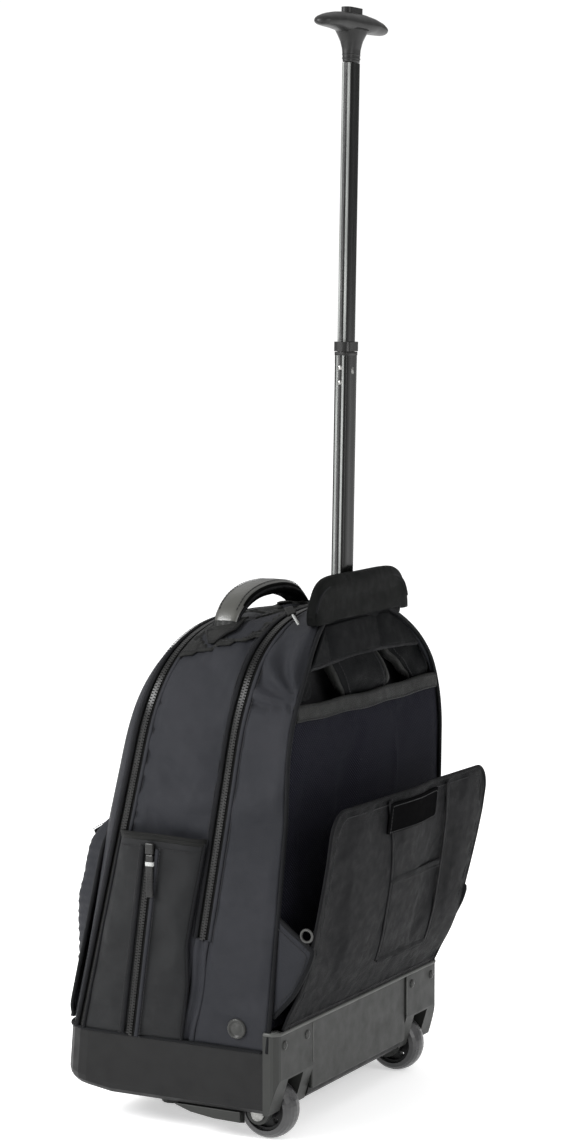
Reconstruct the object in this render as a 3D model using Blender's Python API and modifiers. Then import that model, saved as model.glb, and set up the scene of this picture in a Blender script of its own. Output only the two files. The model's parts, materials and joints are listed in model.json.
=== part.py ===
"""Rolling laptop backpack: an upright bag with two rear wheels, a single telescopic pole with a
T grip, and a fabric flap over the wheels. Lengths are written in millimetres and scaled to metres
as the meshes are made. +X is the left side seen from behind, +Y is the back, +Z is up, and z = 0
is the floor."""

import math

import bmesh
import bpy
from mathutils import Matrix, Vector

MM = 0.001
GAP = 0.4
SKIN = 3.5  # thickness of a padded fabric wall
SEAM_MARGIN = 1.3
SHARP_ANGLE = 35.0

# The bag stands in a frame whose y = 0 is the middle of its tub; this puts the box's middle there.
CENTRE_Y = 27.33

FLOOR_Z = 0.0
TUB_HALF_WIDTH = 165.0
TUB_FRONT, TUB_BACK = -117.0, 107.0
TUB_BOTTOM, TUB_TOP = 28.0, 86.0

AXLE_Y, AXLE_Z = 86.0, 27.5
FRONT_FOOT_X = 64.0
WHEEL_X = 130.0
WHEEL_RADIUS, WHEEL_WIDTH = 27.5, 24.0
HOUSING_INNER_X, HOUSING_OUTER_X = 97.0, 166.5
HOUSING_FRONT, HOUSING_BACK = 52.0, 112.5
HOUSING_TOP = 103.0
CHEEK_INNER_X, CHEEK_FRONT = 157.0, 98.0  # where the housing wraps round the tub's corner

POLE_FOOT_Y = 82.8
POLE_LEAN = math.radians(1.0)
HOUSING_TUBE = (28.0, 18.0, 1.2, 58.0, 435.6)  # width, depth, wall, low end, high end
LOWER_TUBE = (24.0, 14.0, 1.2, 330.0, 700.0)
UPPER_TUBE = (20.4, 10.4, 1.1, 600.0, 960.0)

FLAP_AXIS_Y, FLAP_AXIS_Z = 115.0, 104.6
HOOD_AXIS_Y, HOOD_AXIS_Z = 118.0, 455.0
HOOD_Y, HOOD_THICKNESS, HOOD_HALF_WIDTH, HOOD_TOP = 111.8, 11.6, 97.0, 502.0
DOOR_AXIS_Y, DOOR_AXIS_Z = -116.5, 90.0
HANDLE_X, HANDLE_Y, HANDLE_AXIS_Z = 24.0, 25.0, 455.0  # the loaded bag's top leans to its left
HANDLE_HALF_SPAN, HANDLE_RISE, HANDLE_SPRING_Z = 72.0, 38.5, 445.0
HANDLE_LEFT_FOOT_Z, HANDLE_RIGHT_FOOT_Z = 457.0, 467.0
STRAP_EDGE_Z, STRAP_HALF_THICKNESS = 391.0, 4.2  # the height where the straps enter their pocket

POCKET_ZIP_TOP = Vector((175.4, -10.0, 263.0))
SLIDER_FACE_X = 179.2  # the widest point of the left side, which the right pocket matches
POCKET_PULL_PIN = Vector((2.2, 0.0, -9.2))  # from the slider's corner to the pull's axis
LAPTOP_SLIDER = Vector((84.0, 82.4, 468.4))
LAPTOP_PULL_RUN = Vector((28.0, 40.0, -31.0)).normalized()
LAPTOP_PULL_LENGTH = 42.0

SIDES = (("left", 1), ("right", -1))


# ---------------------------------------------------------------- scene, materials, small helpers

def clear_scene():
    for obj in list(bpy.data.objects):
        bpy.data.objects.remove(obj)


def new_collection(name):
    collection = bpy.data.collections.new(name)
    bpy.context.scene.collection.children.link(collection)
    return collection


clear_scene()
PARTS = new_collection("rolling_laptop_bag")
CUTTERS = new_collection("cutters")


def material(name, colour, roughness, metallic=0.0):
    made = bpy.data.materials.new(name)
    made.use_nodes = True
    shader = made.node_tree.nodes["Principled BSDF"]
    shader.inputs["Base Color"].default_value = (*colour, 1.0)
    shader.inputs["Roughness"].default_value = roughness
    shader.inputs["Metallic"].default_value = metallic
    return made


NYLON = material("bag_nylon", (0.030, 0.031, 0.038), 0.62)
COATED = material("coated_cloth", (0.026, 0.027, 0.031), 0.50)
MESH_CLOTH = material("air_mesh", (0.012, 0.012, 0.018), 0.85)
LINING = material("lining", (0.055, 0.056, 0.060), 0.80)
WEBBING = material("webbing", (0.020, 0.020, 0.022), 0.70)
HANDLE_SKIN = material("handle_skin", (0.030, 0.028, 0.024), 0.30)
TUB_PLASTIC = material("tub_plastic", (0.028, 0.029, 0.031), 0.55)
PLATE_PLASTIC = material("plate_plastic", (0.045, 0.047, 0.045), 0.45)
GRIP_PLASTIC = material("grip_plastic", (0.028, 0.028, 0.029), 0.38)
TYRE_RUBBER = material("tyre_rubber", (0.040, 0.040, 0.042), 0.40)
HUB_PLASTIC = material("hub_plastic", (0.020, 0.020, 0.021), 0.45)
BLACK_TUBE = material("black_tube", (0.006, 0.006, 0.007), 0.12, 0.3)
STEEL = material("steel", (0.55, 0.55, 0.53), 0.28, 1.0)
ZIP_BLACK = material("zip_black", (0.015, 0.015, 0.016), 0.35)
BOARD = material("board", (0.10, 0.10, 0.10), 0.60)


def empty(name, location, parent=None, turn_x=0.0):
    made = bpy.data.objects.new(name, None)
    made.location = Vector(location) * MM
    made.rotation_euler.x = turn_x
    made.parent = parent
    PARTS.objects.link(made)
    return made


BAG = empty("bag_origin", (0.0, -CENTRE_Y, 0.0))
POLE = empty("pole_axis", (0.0, POLE_FOOT_Y, 0.0), BAG, -POLE_LEAN)
FLAP_HINGE = empty("flap_hinge", (0.0, FLAP_AXIS_Y, FLAP_AXIS_Z), BAG)
HOOD_HINGE = empty("hood_hinge", (0.0, HOOD_AXIS_Y, HOOD_AXIS_Z), BAG)
DOOR_HINGE = empty("door_hinge", (0.0, DOOR_AXIS_Y, DOOR_AXIS_Z), BAG)
HANDLE_HINGE = empty("handle_hinge", (HANDLE_X, HANDLE_Y, HANDLE_AXIS_Z), BAG)
POCKET_PULL_HINGE = empty("pocket_pull_hinge", POCKET_ZIP_TOP + POCKET_PULL_PIN, BAG)
LAPTOP_PULL_HINGE = empty("laptop_pull_hinge", LAPTOP_SLIDER + LAPTOP_PULL_RUN * 6.0, BAG)


def add(name, bm, surface, parent=BAG, collection=PARTS, away_from=None):
    """A new object from a bmesh in millimetres, whose points are in the parent's own frame. An
    open surface faces away from the point that it is given."""
    bmesh.ops.recalc_face_normals(bm, faces=bm.faces)
    if away_from is not None:
        origin = Vector(away_from)
        facing = sum(f.normal.dot(f.calc_center_median() - origin) for f in bm.faces)
        if facing < 0:
            bmesh.ops.reverse_faces(bm, faces=bm.faces)
    bmesh.ops.scale(bm, vec=(MM, MM, MM), verts=bm.verts)
    mesh = bpy.data.meshes.new(name)
    bm.to_mesh(mesh)
    bm.free()
    mesh.materials.append(surface)
    mesh.shade_smooth()
    mesh.set_sharp_from_angle(angle=math.radians(SHARP_ANGLE))
    made = bpy.data.objects.new(name, mesh)
    made.parent = parent
    collection.objects.link(made)
    return made


def in_bag(parent):
    """What turns a point in the bag's frame into one in this hinge's frame."""
    return Vector((0, 0, 0)) if parent in (BAG, POLE) else -parent.location / MM


def as_cutter(obj):
    obj.hide_render = True
    obj.display_type = "WIRE"
    return obj


def cut(obj, cutter, operation="DIFFERENCE"):
    modifier = obj.modifiers.new("cut", "BOOLEAN")
    modifier.object = as_cutter(cutter)
    modifier.operation = operation
    modifier.solver = "EXACT"


def bevel(obj, width, segments=2, angle=40.0):
    modifier = obj.modifiers.new("round", "BEVEL")
    modifier.width = width * MM
    modifier.segments = segments
    modifier.limit_method = "ANGLE"
    modifier.angle_limit = math.radians(angle)


def solidify(obj, thickness, offset=-1.0):
    modifier = obj.modifiers.new("wall", "SOLIDIFY")
    modifier.thickness = thickness * MM
    modifier.offset = offset
    modifier.use_even_offset = True


def box_bmesh(low, high):
    bm = bmesh.new()
    low, high = Vector(low), Vector(high)
    size = high - low
    place = Matrix.Translation((low + high) / 2) @ Matrix.Diagonal((*size, 1.0))
    bmesh.ops.create_cube(bm, size=1.0, matrix=place)
    return bm


def block(name, low, high, surface, parent=BAG, round_by=0.0, collection=PARTS):
    bm = box_bmesh(low, high)
    bmesh.ops.translate(bm, vec=in_bag(parent), verts=bm.verts)
    made = add(name, bm, surface, parent, collection)
    if round_by:
        bevel(made, round_by)
    return made


def cylinder_bmesh(centre, axis, radius, length, segments=24):
    bm = bmesh.new()
    turn = Vector((0, 0, 1)).rotation_difference(Vector(axis)).to_matrix().to_4x4()
    bmesh.ops.create_cone(bm, cap_ends=True, segments=segments, radius1=radius, radius2=radius,
                          depth=length, matrix=Matrix.Translation(centre) @ turn)
    return bm


def rod(name, centre, axis, radius, length, surface, parent=BAG, segments=24, collection=PARTS):
    bm = cylinder_bmesh(centre, axis, radius, length, segments)
    bmesh.ops.translate(bm, vec=in_bag(parent), verts=bm.verts)
    return add(name, bm, surface, parent, collection)


def turned(name, profile, centre, surface, steps=32):
    """A closed profile of (radius, x) points, turned about an X axis through the centre."""
    area = sum(r0 * x1 - r1 * x0 for (r0, x0), (r1, x1) in zip(profile, profile[1:] + profile[:1]))
    if area > 0:
        profile = profile[::-1]  # down the outer side, so that the faces point outwards
    bm = bmesh.new()
    points = [bm.verts.new((radius, 0.0, x)) for radius, x in profile]
    for a, b in zip(points, points[1:] + points[:1]):
        bm.edges.new((a, b))
    made = add(name, bm, surface)
    made.location = Vector(centre) * MM
    made.rotation_euler.y = math.radians(90)
    screw = made.modifiers.new("turn", "SCREW")
    screw.axis = "Z"
    screw.steps = steps
    screw.render_steps = steps
    screw.use_merge_vertices = True
    screw.merge_threshold = 0.00001
    return made


def sheet_bmesh(rows):
    """An open surface from rows of points."""
    bm = bmesh.new()
    grid = [[bm.verts.new(point) for point in row] for row in rows]
    for upper, lower in zip(grid, grid[1:]):
        for k in range(len(upper) - 1):
            bm.faces.new((upper[k], upper[k + 1], lower[k + 1], lower[k]))
    return bm


def loft_bmesh(rings):
    """A closed body from rings of points, with a cap on the first and the last."""
    bm = bmesh.new()
    loops = [[bm.verts.new(point) for point in ring] for ring in rings]
    for one, two in zip(loops, loops[1:]):
        for k in range(len(one)):
            j = (k + 1) % len(one)
            bm.faces.new((one[k], one[j], two[j], two[k]))
    bm.faces.new(loops[0][::-1])
    bm.faces.new(loops[-1])
    return bm


def lerp(a, b, t):
    return a + (b - a) * t


def steps(low, high, count):
    return [lerp(low, high, k / count) for k in range(count + 1)]


# ---------------------------------------------------------------- the bag's arched outline

class Station:
    """One arched seam: its half-width, the height where the sides start to turn in, its top, how
    square its shoulders are, and how far back it lies at each height."""

    def __init__(self, low_width, high_width, spring, top, power, depth):
        self.low_width, self.high_width = low_width, high_width
        self.spring, self.top, self.power = spring, top, power
        self.depth = depth

    def outline(self, bottom, inset=0.0, side_steps=4, arc_steps=7):
        half = []
        for z in steps(bottom, self.spring, side_steps):
            share = (z - bottom) / (self.spring - bottom)
            half.append((lerp(self.low_width, self.high_width, share) - inset, z))
        rise = self.top - self.spring - inset
        for k in range(1, arc_steps + 1):
            angle = math.radians(90 * k / arc_steps)
            across = math.cos(angle) ** (2 / self.power) if k < arc_steps else 0.0
            up = math.sin(angle) ** (2 / self.power)
            half.append(((self.high_width - inset) * across, self.spring + rise * up))
        return half + [(-x, z) for x, z in half[-2::-1]]

    def points(self, bottom, inset=0.0, shift=0.0):
        return [Vector((x, self.depth(z) + shift, z)) for x, z in self.outline(bottom, inset)]

    def half_width(self, z, bottom=TUB_TOP):
        if z <= self.spring:
            return lerp(self.low_width, self.high_width, (z - bottom) / (self.spring - bottom))
        up = min(1.0, (z - self.spring) / (self.top - self.spring))
        return self.high_width * (1 - up ** self.power) ** (1 / self.power)


def front_depth(z):
    return -95.0 + 0.227 * (z - 94.0)


def middle_depth(z):
    return 36.0 + 0.166 * (min(z, 400.0) - 184.0) + 0.10 * max(0.0, z - 400.0)


def back_depth(z):
    return 103.0 + 0.075 * (z - 108.0) - 0.0036 * max(0.0, z - 400.0) ** 2


def pole_y(z):
    return POLE_FOOT_Y + math.tan(POLE_LEAN) * z


FRONT = Station(162.0, 159.0, 340.0, 456.0, 2.8, front_depth)
MIDDLE = Station(163.5, 160.0, 340.0, 468.0, 2.8, middle_depth)
BACK = Station(165.0, 157.0, 330.0, 474.0, 2.0, back_depth)
WALL_BOTTOM = TUB_TOP + GAP


def gusset(name, one, two, surface, across=4):
    """The band of cloth over the sides and the top between two seams. It stops a little short of
    both, because the wall's thickness leans over them."""
    first = one.points(WALL_BOTTOM)
    last = two.points(WALL_BOTTOM)
    rows = []
    for t in steps(0.0, 1.0, across):
        row = []
        for a, b in zip(first, last):
            margin = SEAM_MARGIN / (b - a).length
            row.append(a.lerp(b, lerp(margin, 1.0 - margin, t)))
        rows.append(row)
    made = add(name, sheet_bmesh(rows), surface, away_from=(0, 0, 220))
    solidify(made, SKIN)
    return made


def arch_panel(name, station, bottom, inset, shift, thickness, surface, parent=BAG, crown=0.0):
    """A panel that fills an arch: rings of the outline shrunk to a middle point, pushed forwards
    by the crown, and given a thickness."""
    outline = station.points(bottom, inset, shift)
    middle = sum(outline, Vector()) / len(outline)
    bm = bmesh.new()
    move = in_bag(parent)
    loops = []
    for size in (1.0, 0.96, 0.9, 0.78, 0.5) if crown else (1.0, 0.5):
        push = Vector((0, -crown * (1 - size ** 10), 0))
        loops.append([bm.verts.new(middle.lerp(p, size) + push + move) for p in outline])
    for outer, inner in zip(loops, loops[1:]):
        for k in range(len(outer)):
            j = (k + 1) % len(outer)
            bm.faces.new((outer[k], outer[j], inner[j], inner[k]))
    tip = bm.verts.new(middle + Vector((0, -crown, 0)) + move)
    for k in range(len(loops[-1])):
        j = (k + 1) % len(loops[-1])
        bm.faces.new((loops[-1][k], loops[-1][j], tip))
    made = add(name, bm, surface, parent, away_from=middle + Vector((0, 500, 0)))
    solidify(made, thickness)
    return made


def depth_panel(name, rows, half_width, depth, thickness, surface, columns=8, bulge=0.0):
    """A back panel given by its half-width and depth at each height."""
    points = []
    low, high = rows[0], rows[-1]
    for z in rows:
        row = []
        for u in steps(-1.0, 1.0, columns):
            swell = bulge * (1 - u * u) * math.sin(math.pi * (z - low) / (high - low))
            row.append(Vector((u * half_width(z), depth(z) + swell, z)))
        points.append(row)
    made = add(name, sheet_bmesh(points), surface, away_from=(0, -500, 250))
    solidify(made, thickness)
    return made


# ---------------------------------------------------------------- tub, plate, wheel housings, feet

def bottom_tub():
    bm = box_bmesh((-TUB_HALF_WIDTH, TUB_FRONT, TUB_BOTTOM), (TUB_HALF_WIDTH, TUB_BACK, TUB_TOP))
    everything = list(bm.verts) + list(bm.edges) + list(bm.faces)
    bmesh.ops.bisect_plane(bm, geom=everything, plane_co=(0, -62, 0), plane_no=(0, 1, 0))
    for v in bm.verts:
        if v.co.y < -100:
            v.co.z += 8.0 if v.co.z < 50 else 0.0
            v.co.y += 4.0 if v.co.z > 50 else 0.0
    top = [f for f in bm.faces if f.normal.z > 0.9]
    bmesh.ops.delete(bm, geom=top, context="FACES_ONLY")
    front = [e for e in bm.edges if all(v.co.y < -100 for v in e.verts) and not e.is_boundary
             and abs(e.verts[0].co.x - e.verts[1].co.x) < 1]
    bmesh.ops.bevel(bm, geom=front, offset=30.0, segments=5, profile=0.5, affect="EDGES")
    low = [e for e in bm.edges if all(v.co.z < 45 for v in e.verts) and not e.is_boundary
           and e.calc_face_angle(0.0) > math.radians(50)]
    bmesh.ops.bevel(bm, geom=low, offset=11.0, segments=3, profile=0.5, affect="EDGES")
    made = add("bottom_tub", bm, TUB_PLASTIC, away_from=(0, 0, 70))
    solidify(made, 3.0)
    for side, sign in SIDES:
        low_x, high_x = sorted((sign * (HOUSING_INNER_X - GAP), sign * (CHEEK_INNER_X + GAP)))
        cut(made, block(f"tub_well_{side}", (low_x, HOUSING_FRONT - GAP, 10), (high_x, 125, 95),
                        TUB_PLASTIC, collection=CUTTERS))
        low_x, high_x = sorted((sign * 150.0, sign * 175.0))
        cut(made, block(f"tub_corner_{side}", (low_x, CHEEK_FRONT - GAP, 10), (high_x, 125, 95),
                        TUB_PLASTIC, collection=CUTTERS))


def wheel_housing(side, sign):
    """A moulded box over the wheel, open above for lightness and below for the wheel."""
    def span(a, b):
        return sorted((sign * a, sign * b))

    x0, x1 = span(HOUSING_INNER_X, HOUSING_OUTER_X)
    bm = box_bmesh((x0, HOUSING_FRONT, 30.0), (x1, HOUSING_BACK, HOUSING_TOP))
    upright = [e for e in bm.edges if abs(e.verts[0].co.z - e.verts[1].co.z) > 10
               and e.verts[0].co.y > 100 and abs(e.verts[0].co.x) > 150]
    bmesh.ops.bevel(bm, geom=upright, offset=7.0, segments=4, profile=0.5, affect="EDGES")
    made = add(f"wheel_housing_{side}", bm, PLATE_PLASTIC)
    for place, at in (("inner", 111.5), ("outer", 149.5)):
        lug = rod(f"lug_{place}_{side}", (sign * at, AXLE_Y, AXLE_Z + 0.5), (1, 0, 0), 11.0, 8.0,
                  PLATE_PLASTIC, collection=CUTTERS)
        cut(made, lug, "UNION")
    well = rod(f"wheel_well_{side}", (sign * WHEEL_X, AXLE_Y, AXLE_Z), (1, 0, 0), 32.0, 29.0,
               PLATE_PLASTIC, collection=CUTTERS)
    mouth_x = span(WHEEL_X - 14.5, WHEEL_X + 14.5)
    mouth = block(f"wheel_mouth_{side}", (mouth_x[0], 86, 5), (mouth_x[1], 125, 59.4),
                  PLATE_PLASTIC, collection=CUTTERS)
    hollow_x = span(HOUSING_INNER_X + 3, CHEEK_INNER_X - 3)
    hollow = block(f"housing_hollow_{side}", (hollow_x[0], HOUSING_FRONT + 3, 64),
                   (hollow_x[1], HOUSING_BACK - 3, 120), PLATE_PLASTIC, collection=CUTTERS)
    beside_x = span(CHEEK_INNER_X, 180.0)
    beside = block(f"beside_tub_{side}", (beside_x[0], 40, 10), (beside_x[1], CHEEK_FRONT, 120),
                   PLATE_PLASTIC, collection=CUTTERS)
    heel = ((103.0, 29.0), (HOUSING_BACK + 0.2, 62.0), (130.0, 62.0), (130.0, 5.0), (103.0, 5.0))
    rake = add(f"heel_rake_{side}", loft_bmesh([[(x, y, z) for y, z in heel]
                                                for x in span(90.0, 180.0)]),
               PLATE_PLASTIC, collection=CUTTERS)
    bore = rod(f"axle_bore_{side}", (sign * WHEEL_X, AXLE_Y, AXLE_Z), (1, 0, 0), 4.4, 60.0,
               PLATE_PLASTIC, collection=CUTTERS)
    head = rod(f"axle_head_seat_{side}", (sign * 158.0, AXLE_Y, AXLE_Z), (1, 0, 0), 7.6, 8.4,
               PLATE_PLASTIC, collection=CUTTERS)
    for tool in (well, mouth, hollow, beside, rake, bore, head):
        cut(made, tool)


def axle(side, sign):
    """A bolt from the outer lug to the inner one, its domed head outside."""
    profile = [(7.0, 25.0), (5.6, 26.2), (3.0, 26.7), (0.0, 26.7), (0.0, -24.6), (4.0, -24.6),
               (4.0, 24.2), (7.0, 24.2)]
    turned_profile = [(r, sign * x) for r, x in profile]
    turned(f"axle_bolt_{side}", turned_profile, (sign * WHEEL_X, AXLE_Y, AXLE_Z), STEEL, 16)


def skid_rail(side, sign):
    rings = []
    for y, low, x_in in ((4.0, 24.0, 151.0), (20.0, 19.0, 150.0), (44.0, 16.0, 149.5),
                         (71.0, 15.5, 149.5)):
        a, b = sign * x_in, sign * 159.0
        rings.append([(a, y, low), (b, y, low + 2.5), (b, y, 27.5), (a, y, 27.5)])
    made = add(f"skid_rail_{side}", loft_bmesh(rings), PLATE_PLASTIC)
    bevel(made, 1.2)


def front_foot(side, sign):
    rings = []
    for z, grow in ((FLOOR_Z, 0.0), (4.0, 2.0), (20.0, 3.5), (27.6, 8.0)):
        ring = []
        for k in range(16):
            angle = 2 * math.pi * k / 16
            ring.append((sign * FRONT_FOOT_X + (15 + grow) * math.cos(angle),
                         -50 + (12 + grow) * math.sin(angle), z))
        rings.append(ring)
    add(f"front_foot_{side}", loft_bmesh(rings), PLATE_PLASTIC)


def kick_plate():
    block("kick_plate", (-HOUSING_INNER_X + GAP, TUB_BACK + GAP, 39.0),
          (HOUSING_INNER_X - GAP, HOUSING_BACK - 1.5, HOUSING_TOP), PLATE_PLASTIC, round_by=1.0)


# ---------------------------------------------------------------- wheels

def wheel(side, sign):
    centre = (sign * WHEEL_X, AXLE_Y, AXLE_Z)
    half = WHEEL_WIDTH / 2
    tread = []
    for k in range(9):
        angle = math.radians(90 - 22.5 * k)
        tread.append((19.3 + (WHEEL_RADIUS - 19.3) * max(0.0, math.cos(angle)) ** 0.75,
                      half * math.sin(angle)))
    turned(f"tyre_{side}", tread, centre, TYRE_RUBBER, 36)
    hub = [(19.0, 8.5), (19.0, -8.5), (16.6, -8.5), (16.6, -4.0), (10.2, -4.0), (10.2, -9.5),
           (8.3, -9.5), (8.3, -4.2), (6.5, -4.2), (6.5, 4.2), (8.3, 4.2), (8.3, 9.5),
           (10.2, 9.5), (10.2, 4.0), (16.6, 4.0), (16.6, 8.5)]
    made = turned(f"wheel_hub_{side}", hub, centre, HUB_PLASTIC, 30)
    for k in range(5):
        angle = 2 * math.pi * k / 5 + 0.3
        place = (centre[0], AXLE_Y + 13.4 * math.cos(angle), AXLE_Z + 13.4 * math.sin(angle))
        cut(made, rod(f"hub_hole_{side}_{k}", place, (1, 0, 0), 2.6, 20.0, HUB_PLASTIC,
                      segments=10, collection=CUTTERS))
    race = [(8.2, 2.4), (8.2, -2.4), (4.1, -2.4), (4.1, 2.4)]
    for place, shift in (("outer", 6.8), ("inner", -6.8)):
        at = (sign * (WHEEL_X + shift), AXLE_Y, AXLE_Z)
        turned(f"bearing_{place}_{side}", race, at, STEEL, 20)


# ---------------------------------------------------------------- telescopic pole

def rounded_outline(width, depth, corner, points_per_corner=4):
    """The corners of a rounded rectangle, as (x, y) points."""
    outline = []
    for quarter, (sx, sy) in enumerate(((1, 1), (-1, 1), (-1, -1), (1, -1))):
        cx, cy = sx * (width / 2 - corner), sy * (depth / 2 - corner)
        for k in range(points_per_corner + 1):
            angle = math.pi / 2 * (quarter + k / points_per_corner)
            outline.append((cx + corner * math.cos(angle), cy + corner * math.sin(angle)))
    return outline


def section(name, outlines, low, high, surface, parent=POLE, collection=PARTS):
    """Flat outlines, the second one a hole in the first, drawn out from low to high."""
    curve = bpy.data.curves.new(name, "CURVE")
    curve.dimensions = "2D"
    curve.fill_mode = "BOTH"
    curve.extrude = (high - low) / 2 * MM
    for outline in outlines:
        spline = curve.splines.new("POLY")
        spline.points.add(len(outline) - 1)
        for point, (x, y) in zip(spline.points, outline):
            point.co = (x * MM, y * MM, 0.0, 1.0)
        spline.use_cyclic_u = True
    drawn = bpy.data.objects.new(name + "_outline", curve)
    bpy.context.scene.collection.objects.link(drawn)
    graph = bpy.context.evaluated_depsgraph_get()
    mesh = bpy.data.meshes.new_from_object(drawn.evaluated_get(graph))
    bpy.data.objects.remove(drawn)
    bm = bmesh.new()
    bm.from_mesh(mesh)
    bpy.data.meshes.remove(mesh)
    bmesh.ops.remove_doubles(bm, verts=bm.verts, dist=0.00001)
    bmesh.ops.scale(bm, vec=(1 / MM, 1 / MM, 1 / MM), verts=bm.verts)
    bmesh.ops.translate(bm, vec=(0, 0, (low + high) / 2), verts=bm.verts)
    return add(name, bm, surface, parent, collection)


def tube(name, size, surface):
    width, depth, wall, low, high = size
    inner = rounded_outline(width - 2 * wall, depth - 2 * wall, depth / 3 - wall)
    return section(name, [rounded_outline(width, depth, depth / 3), inner], low, high, surface)


def pole():
    tube("handle_housing_tube", HOUSING_TUBE, BLACK_TUBE)
    lower = tube("lower_tube", LOWER_TUBE, BLACK_TUBE)
    upper = tube("upper_tube", UPPER_TUBE, BLACK_TUBE)
    for name, obj, z in (("lower_stop_hole", lower, 672.0), ("upper_stop_hole", upper, 946.0)):
        cut(obj, rod(name, (0, 6, z), (0, 1, 0), 2.3, 6.0, BLACK_TUBE, POLE, 12, CUTTERS))
    block("handle_base_bracket", (-24, -13, 32), (24, 13, 57.4), PLATE_PLASTIC, POLE, 1.5)
    section("handle_bezel", [rounded_outline(56, 27, 8), rounded_outline(26.4, 16.4, 5.4)],
            436.0, 448.0, GRIP_PLASTIC)
    section("lower_tube_collar", [rounded_outline(25.6, 15.6, 5.2), rounded_outline(21, 11, 3.6)],
            700.0 + GAP, 709.0, GRIP_PLASTIC)
    section("lower_tube_guide", [rounded_outline(25.0, 15.0, 5.0), rounded_outline(19, 9, 3)],
            319.0, 330.0 - GAP, GRIP_PLASTIC)
    lock_block()
    block("release_rod", (-2.0, -1.5, 614.0), (2.0, 1.5, 993.6), STEEL, POLE)
    section("release_button", [rounded_outline(30, 10, 4.9)], 994.0, 1009.0, GRIP_PLASTIC)
    neck = [rounded_outline(17.0, 9.6, 3.6), rounded_outline(8, 5, 2)]
    section("grip_neck", neck, 960.0 + GAP, 984.0, GRIP_PLASTIC)
    grip()


def lock_block():
    """The plug on the upper tube's lower end, with the sprung pin that the button draws in."""
    made = section("upper_lock_block", [rounded_outline(21.0, 11.0, 3.6)], 586.0, 600.0 - GAP,
                   GRIP_PLASTIC)
    cut(made, rod("pin_bore", (0, 2.0, 593.0), (0, 1, 0), 2.7, 14.0, GRIP_PLASTIC, POLE, 14,
                  CUTTERS))
    rod("lock_pin", (0, 1.8, 593.0), (0, 1, 0), 2.5, 7.0, STEEL, POLE, 14)


def grip():
    """A T bar whose arms thin out and droop a little."""
    rings = []
    sections = ((-64, 7, 5, 992.5), (-62, 15, 9, 993), (-52, 21, 12, 994.5), (-34, 25, 15, 995.5),
                (-16, 26.5, 19, 995), (0, 27, 20, 995))
    for x, depth, height, z in sections + tuple((-a, b, c, d) for a, b, c, d in sections[-2::-1]):
        ring = []
        for k in range(14):
            angle = 2 * math.pi * k / 14
            ring.append((x, depth / 2 * math.cos(angle), z + height / 2 * math.sin(angle)))
        rings.append(ring)
    made = add("grip", loft_bmesh(rings), GRIP_PLASTIC, POLE)
    cut(made, section("button_recess", [rounded_outline(31, 11, 5.2)], 989.6, 1020.0,
                      GRIP_PLASTIC, POLE, CUTTERS))
    cut(made, section("rod_hole", [rounded_outline(8, 5, 2)], 970.0, 995.0, GRIP_PLASTIC, POLE,
                      CUTTERS))


# ---------------------------------------------------------------- bag walls

def bag_walls():
    gusset("main_gusset", FRONT, MIDDLE, NYLON)
    rear = gusset("laptop_gusset", MIDDLE, BACK, NYLON, 3)
    mouth = section("handle_mouth", [rounded_outline(72, 21.4, 6)], 440.0, 490.0, NYLON, POLE,
                    CUTTERS)
    mouth.location.y = 2.6 * MM
    cut(rear, mouth)
    for side, sign in SIDES:
        low_x, high_x = sorted((sign * 90.0, sign * 180.0))
        cut(rear, block(f"gusset_corner_{side}", (low_x, CHEEK_FRONT - GAP, 70),
                        (high_x, 130, HOUSING_TOP + GAP), NYLON, collection=CUTTERS))
    arch_panel("laptop_divider", MIDDLE, 88.0, SKIN + 2.5, -6.0, 3.0, LINING)
    arch_panel("back_board", Station(154.0, 142.0, 320.0, 433.0, 2.2, lambda z: pole_y(z) + 9.6),
               106.0, 0.0, 0.0, 3.0, BOARD)
    depth_panel("strap_pocket", steps(106.0, 391.0, 8), lambda z: BACK.half_width(z) - 5.0,
                lambda z: back_depth(z) - 1.0, 4.0, MESH_CLOTH, bulge=4.0)
    depth_panel("yoke_panel", steps(421.0, 455.0, 4), lambda z: BACK.half_width(z + 7.0) - 5.0,
                lambda z: back_depth(z) - 1.0, 4.5, COATED)


def front_door():
    """The front of the main compartment, which unzips and falls forwards from its lower edge."""
    arch_panel("front_panel", FRONT, 90.4, 0.0, -3.6, 3.0, NYLON, DOOR_HINGE, crown=14.5)
    rows = []
    for z, proud in ((94, 14.0), (100, 20.0), (112, 22.5), (150, 28.0), (200, 33.5), (236, 36.5),
                     (255, 34.0), (269, 29.0), (277, 24.0), (281, 21.2)):
        half = 149.0 - 18.0 * max(0.0, (z - 255) / 26)
        rim = min(proud, 21.2 if z > 230 else 17.5)
        row = []
        for u in (-1.0, -0.985, -0.95, -0.85, -0.5, 0.0, 0.5, 0.85, 0.95, 0.985, 1.0):
            y = front_depth(z) - lerp(rim, proud, 1 - u ** 20)
            row.append(Vector((u * half, y, z)) + in_bag(DOOR_HINGE))
        rows.append(row)
    made = add("front_pocket", sheet_bmesh(rows), NYLON, DOOR_HINGE, away_from=(0, 500, 100))
    solidify(made, 2.0)
    zip_line("main_zip", FRONT, -2.4, DOOR_HINGE)


def zip_line(name, station, shift, parent=BAG):
    """A zip's closed coil, laid on the outside of a seam."""
    bottom = 100.0 if parent is DOOR_HINGE else 184.0
    points = [p + in_bag(parent) for p in station.points(bottom, -2.1, shift)]
    curve = bpy.data.curves.new(name, "CURVE")
    curve.dimensions = "3D"
    curve.bevel_depth = 1.6 * MM
    curve.bevel_resolution = 1
    curve.use_fill_caps = True
    spline = curve.splines.new("POLY")
    spline.points.add(len(points) - 1)
    for target, point in zip(spline.points, points):
        target.co = (*(point * MM), 1.0)
    curve.materials.append(ZIP_BLACK)
    made = bpy.data.objects.new(name, curve)
    made.parent = parent
    PARTS.objects.link(made)


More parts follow.
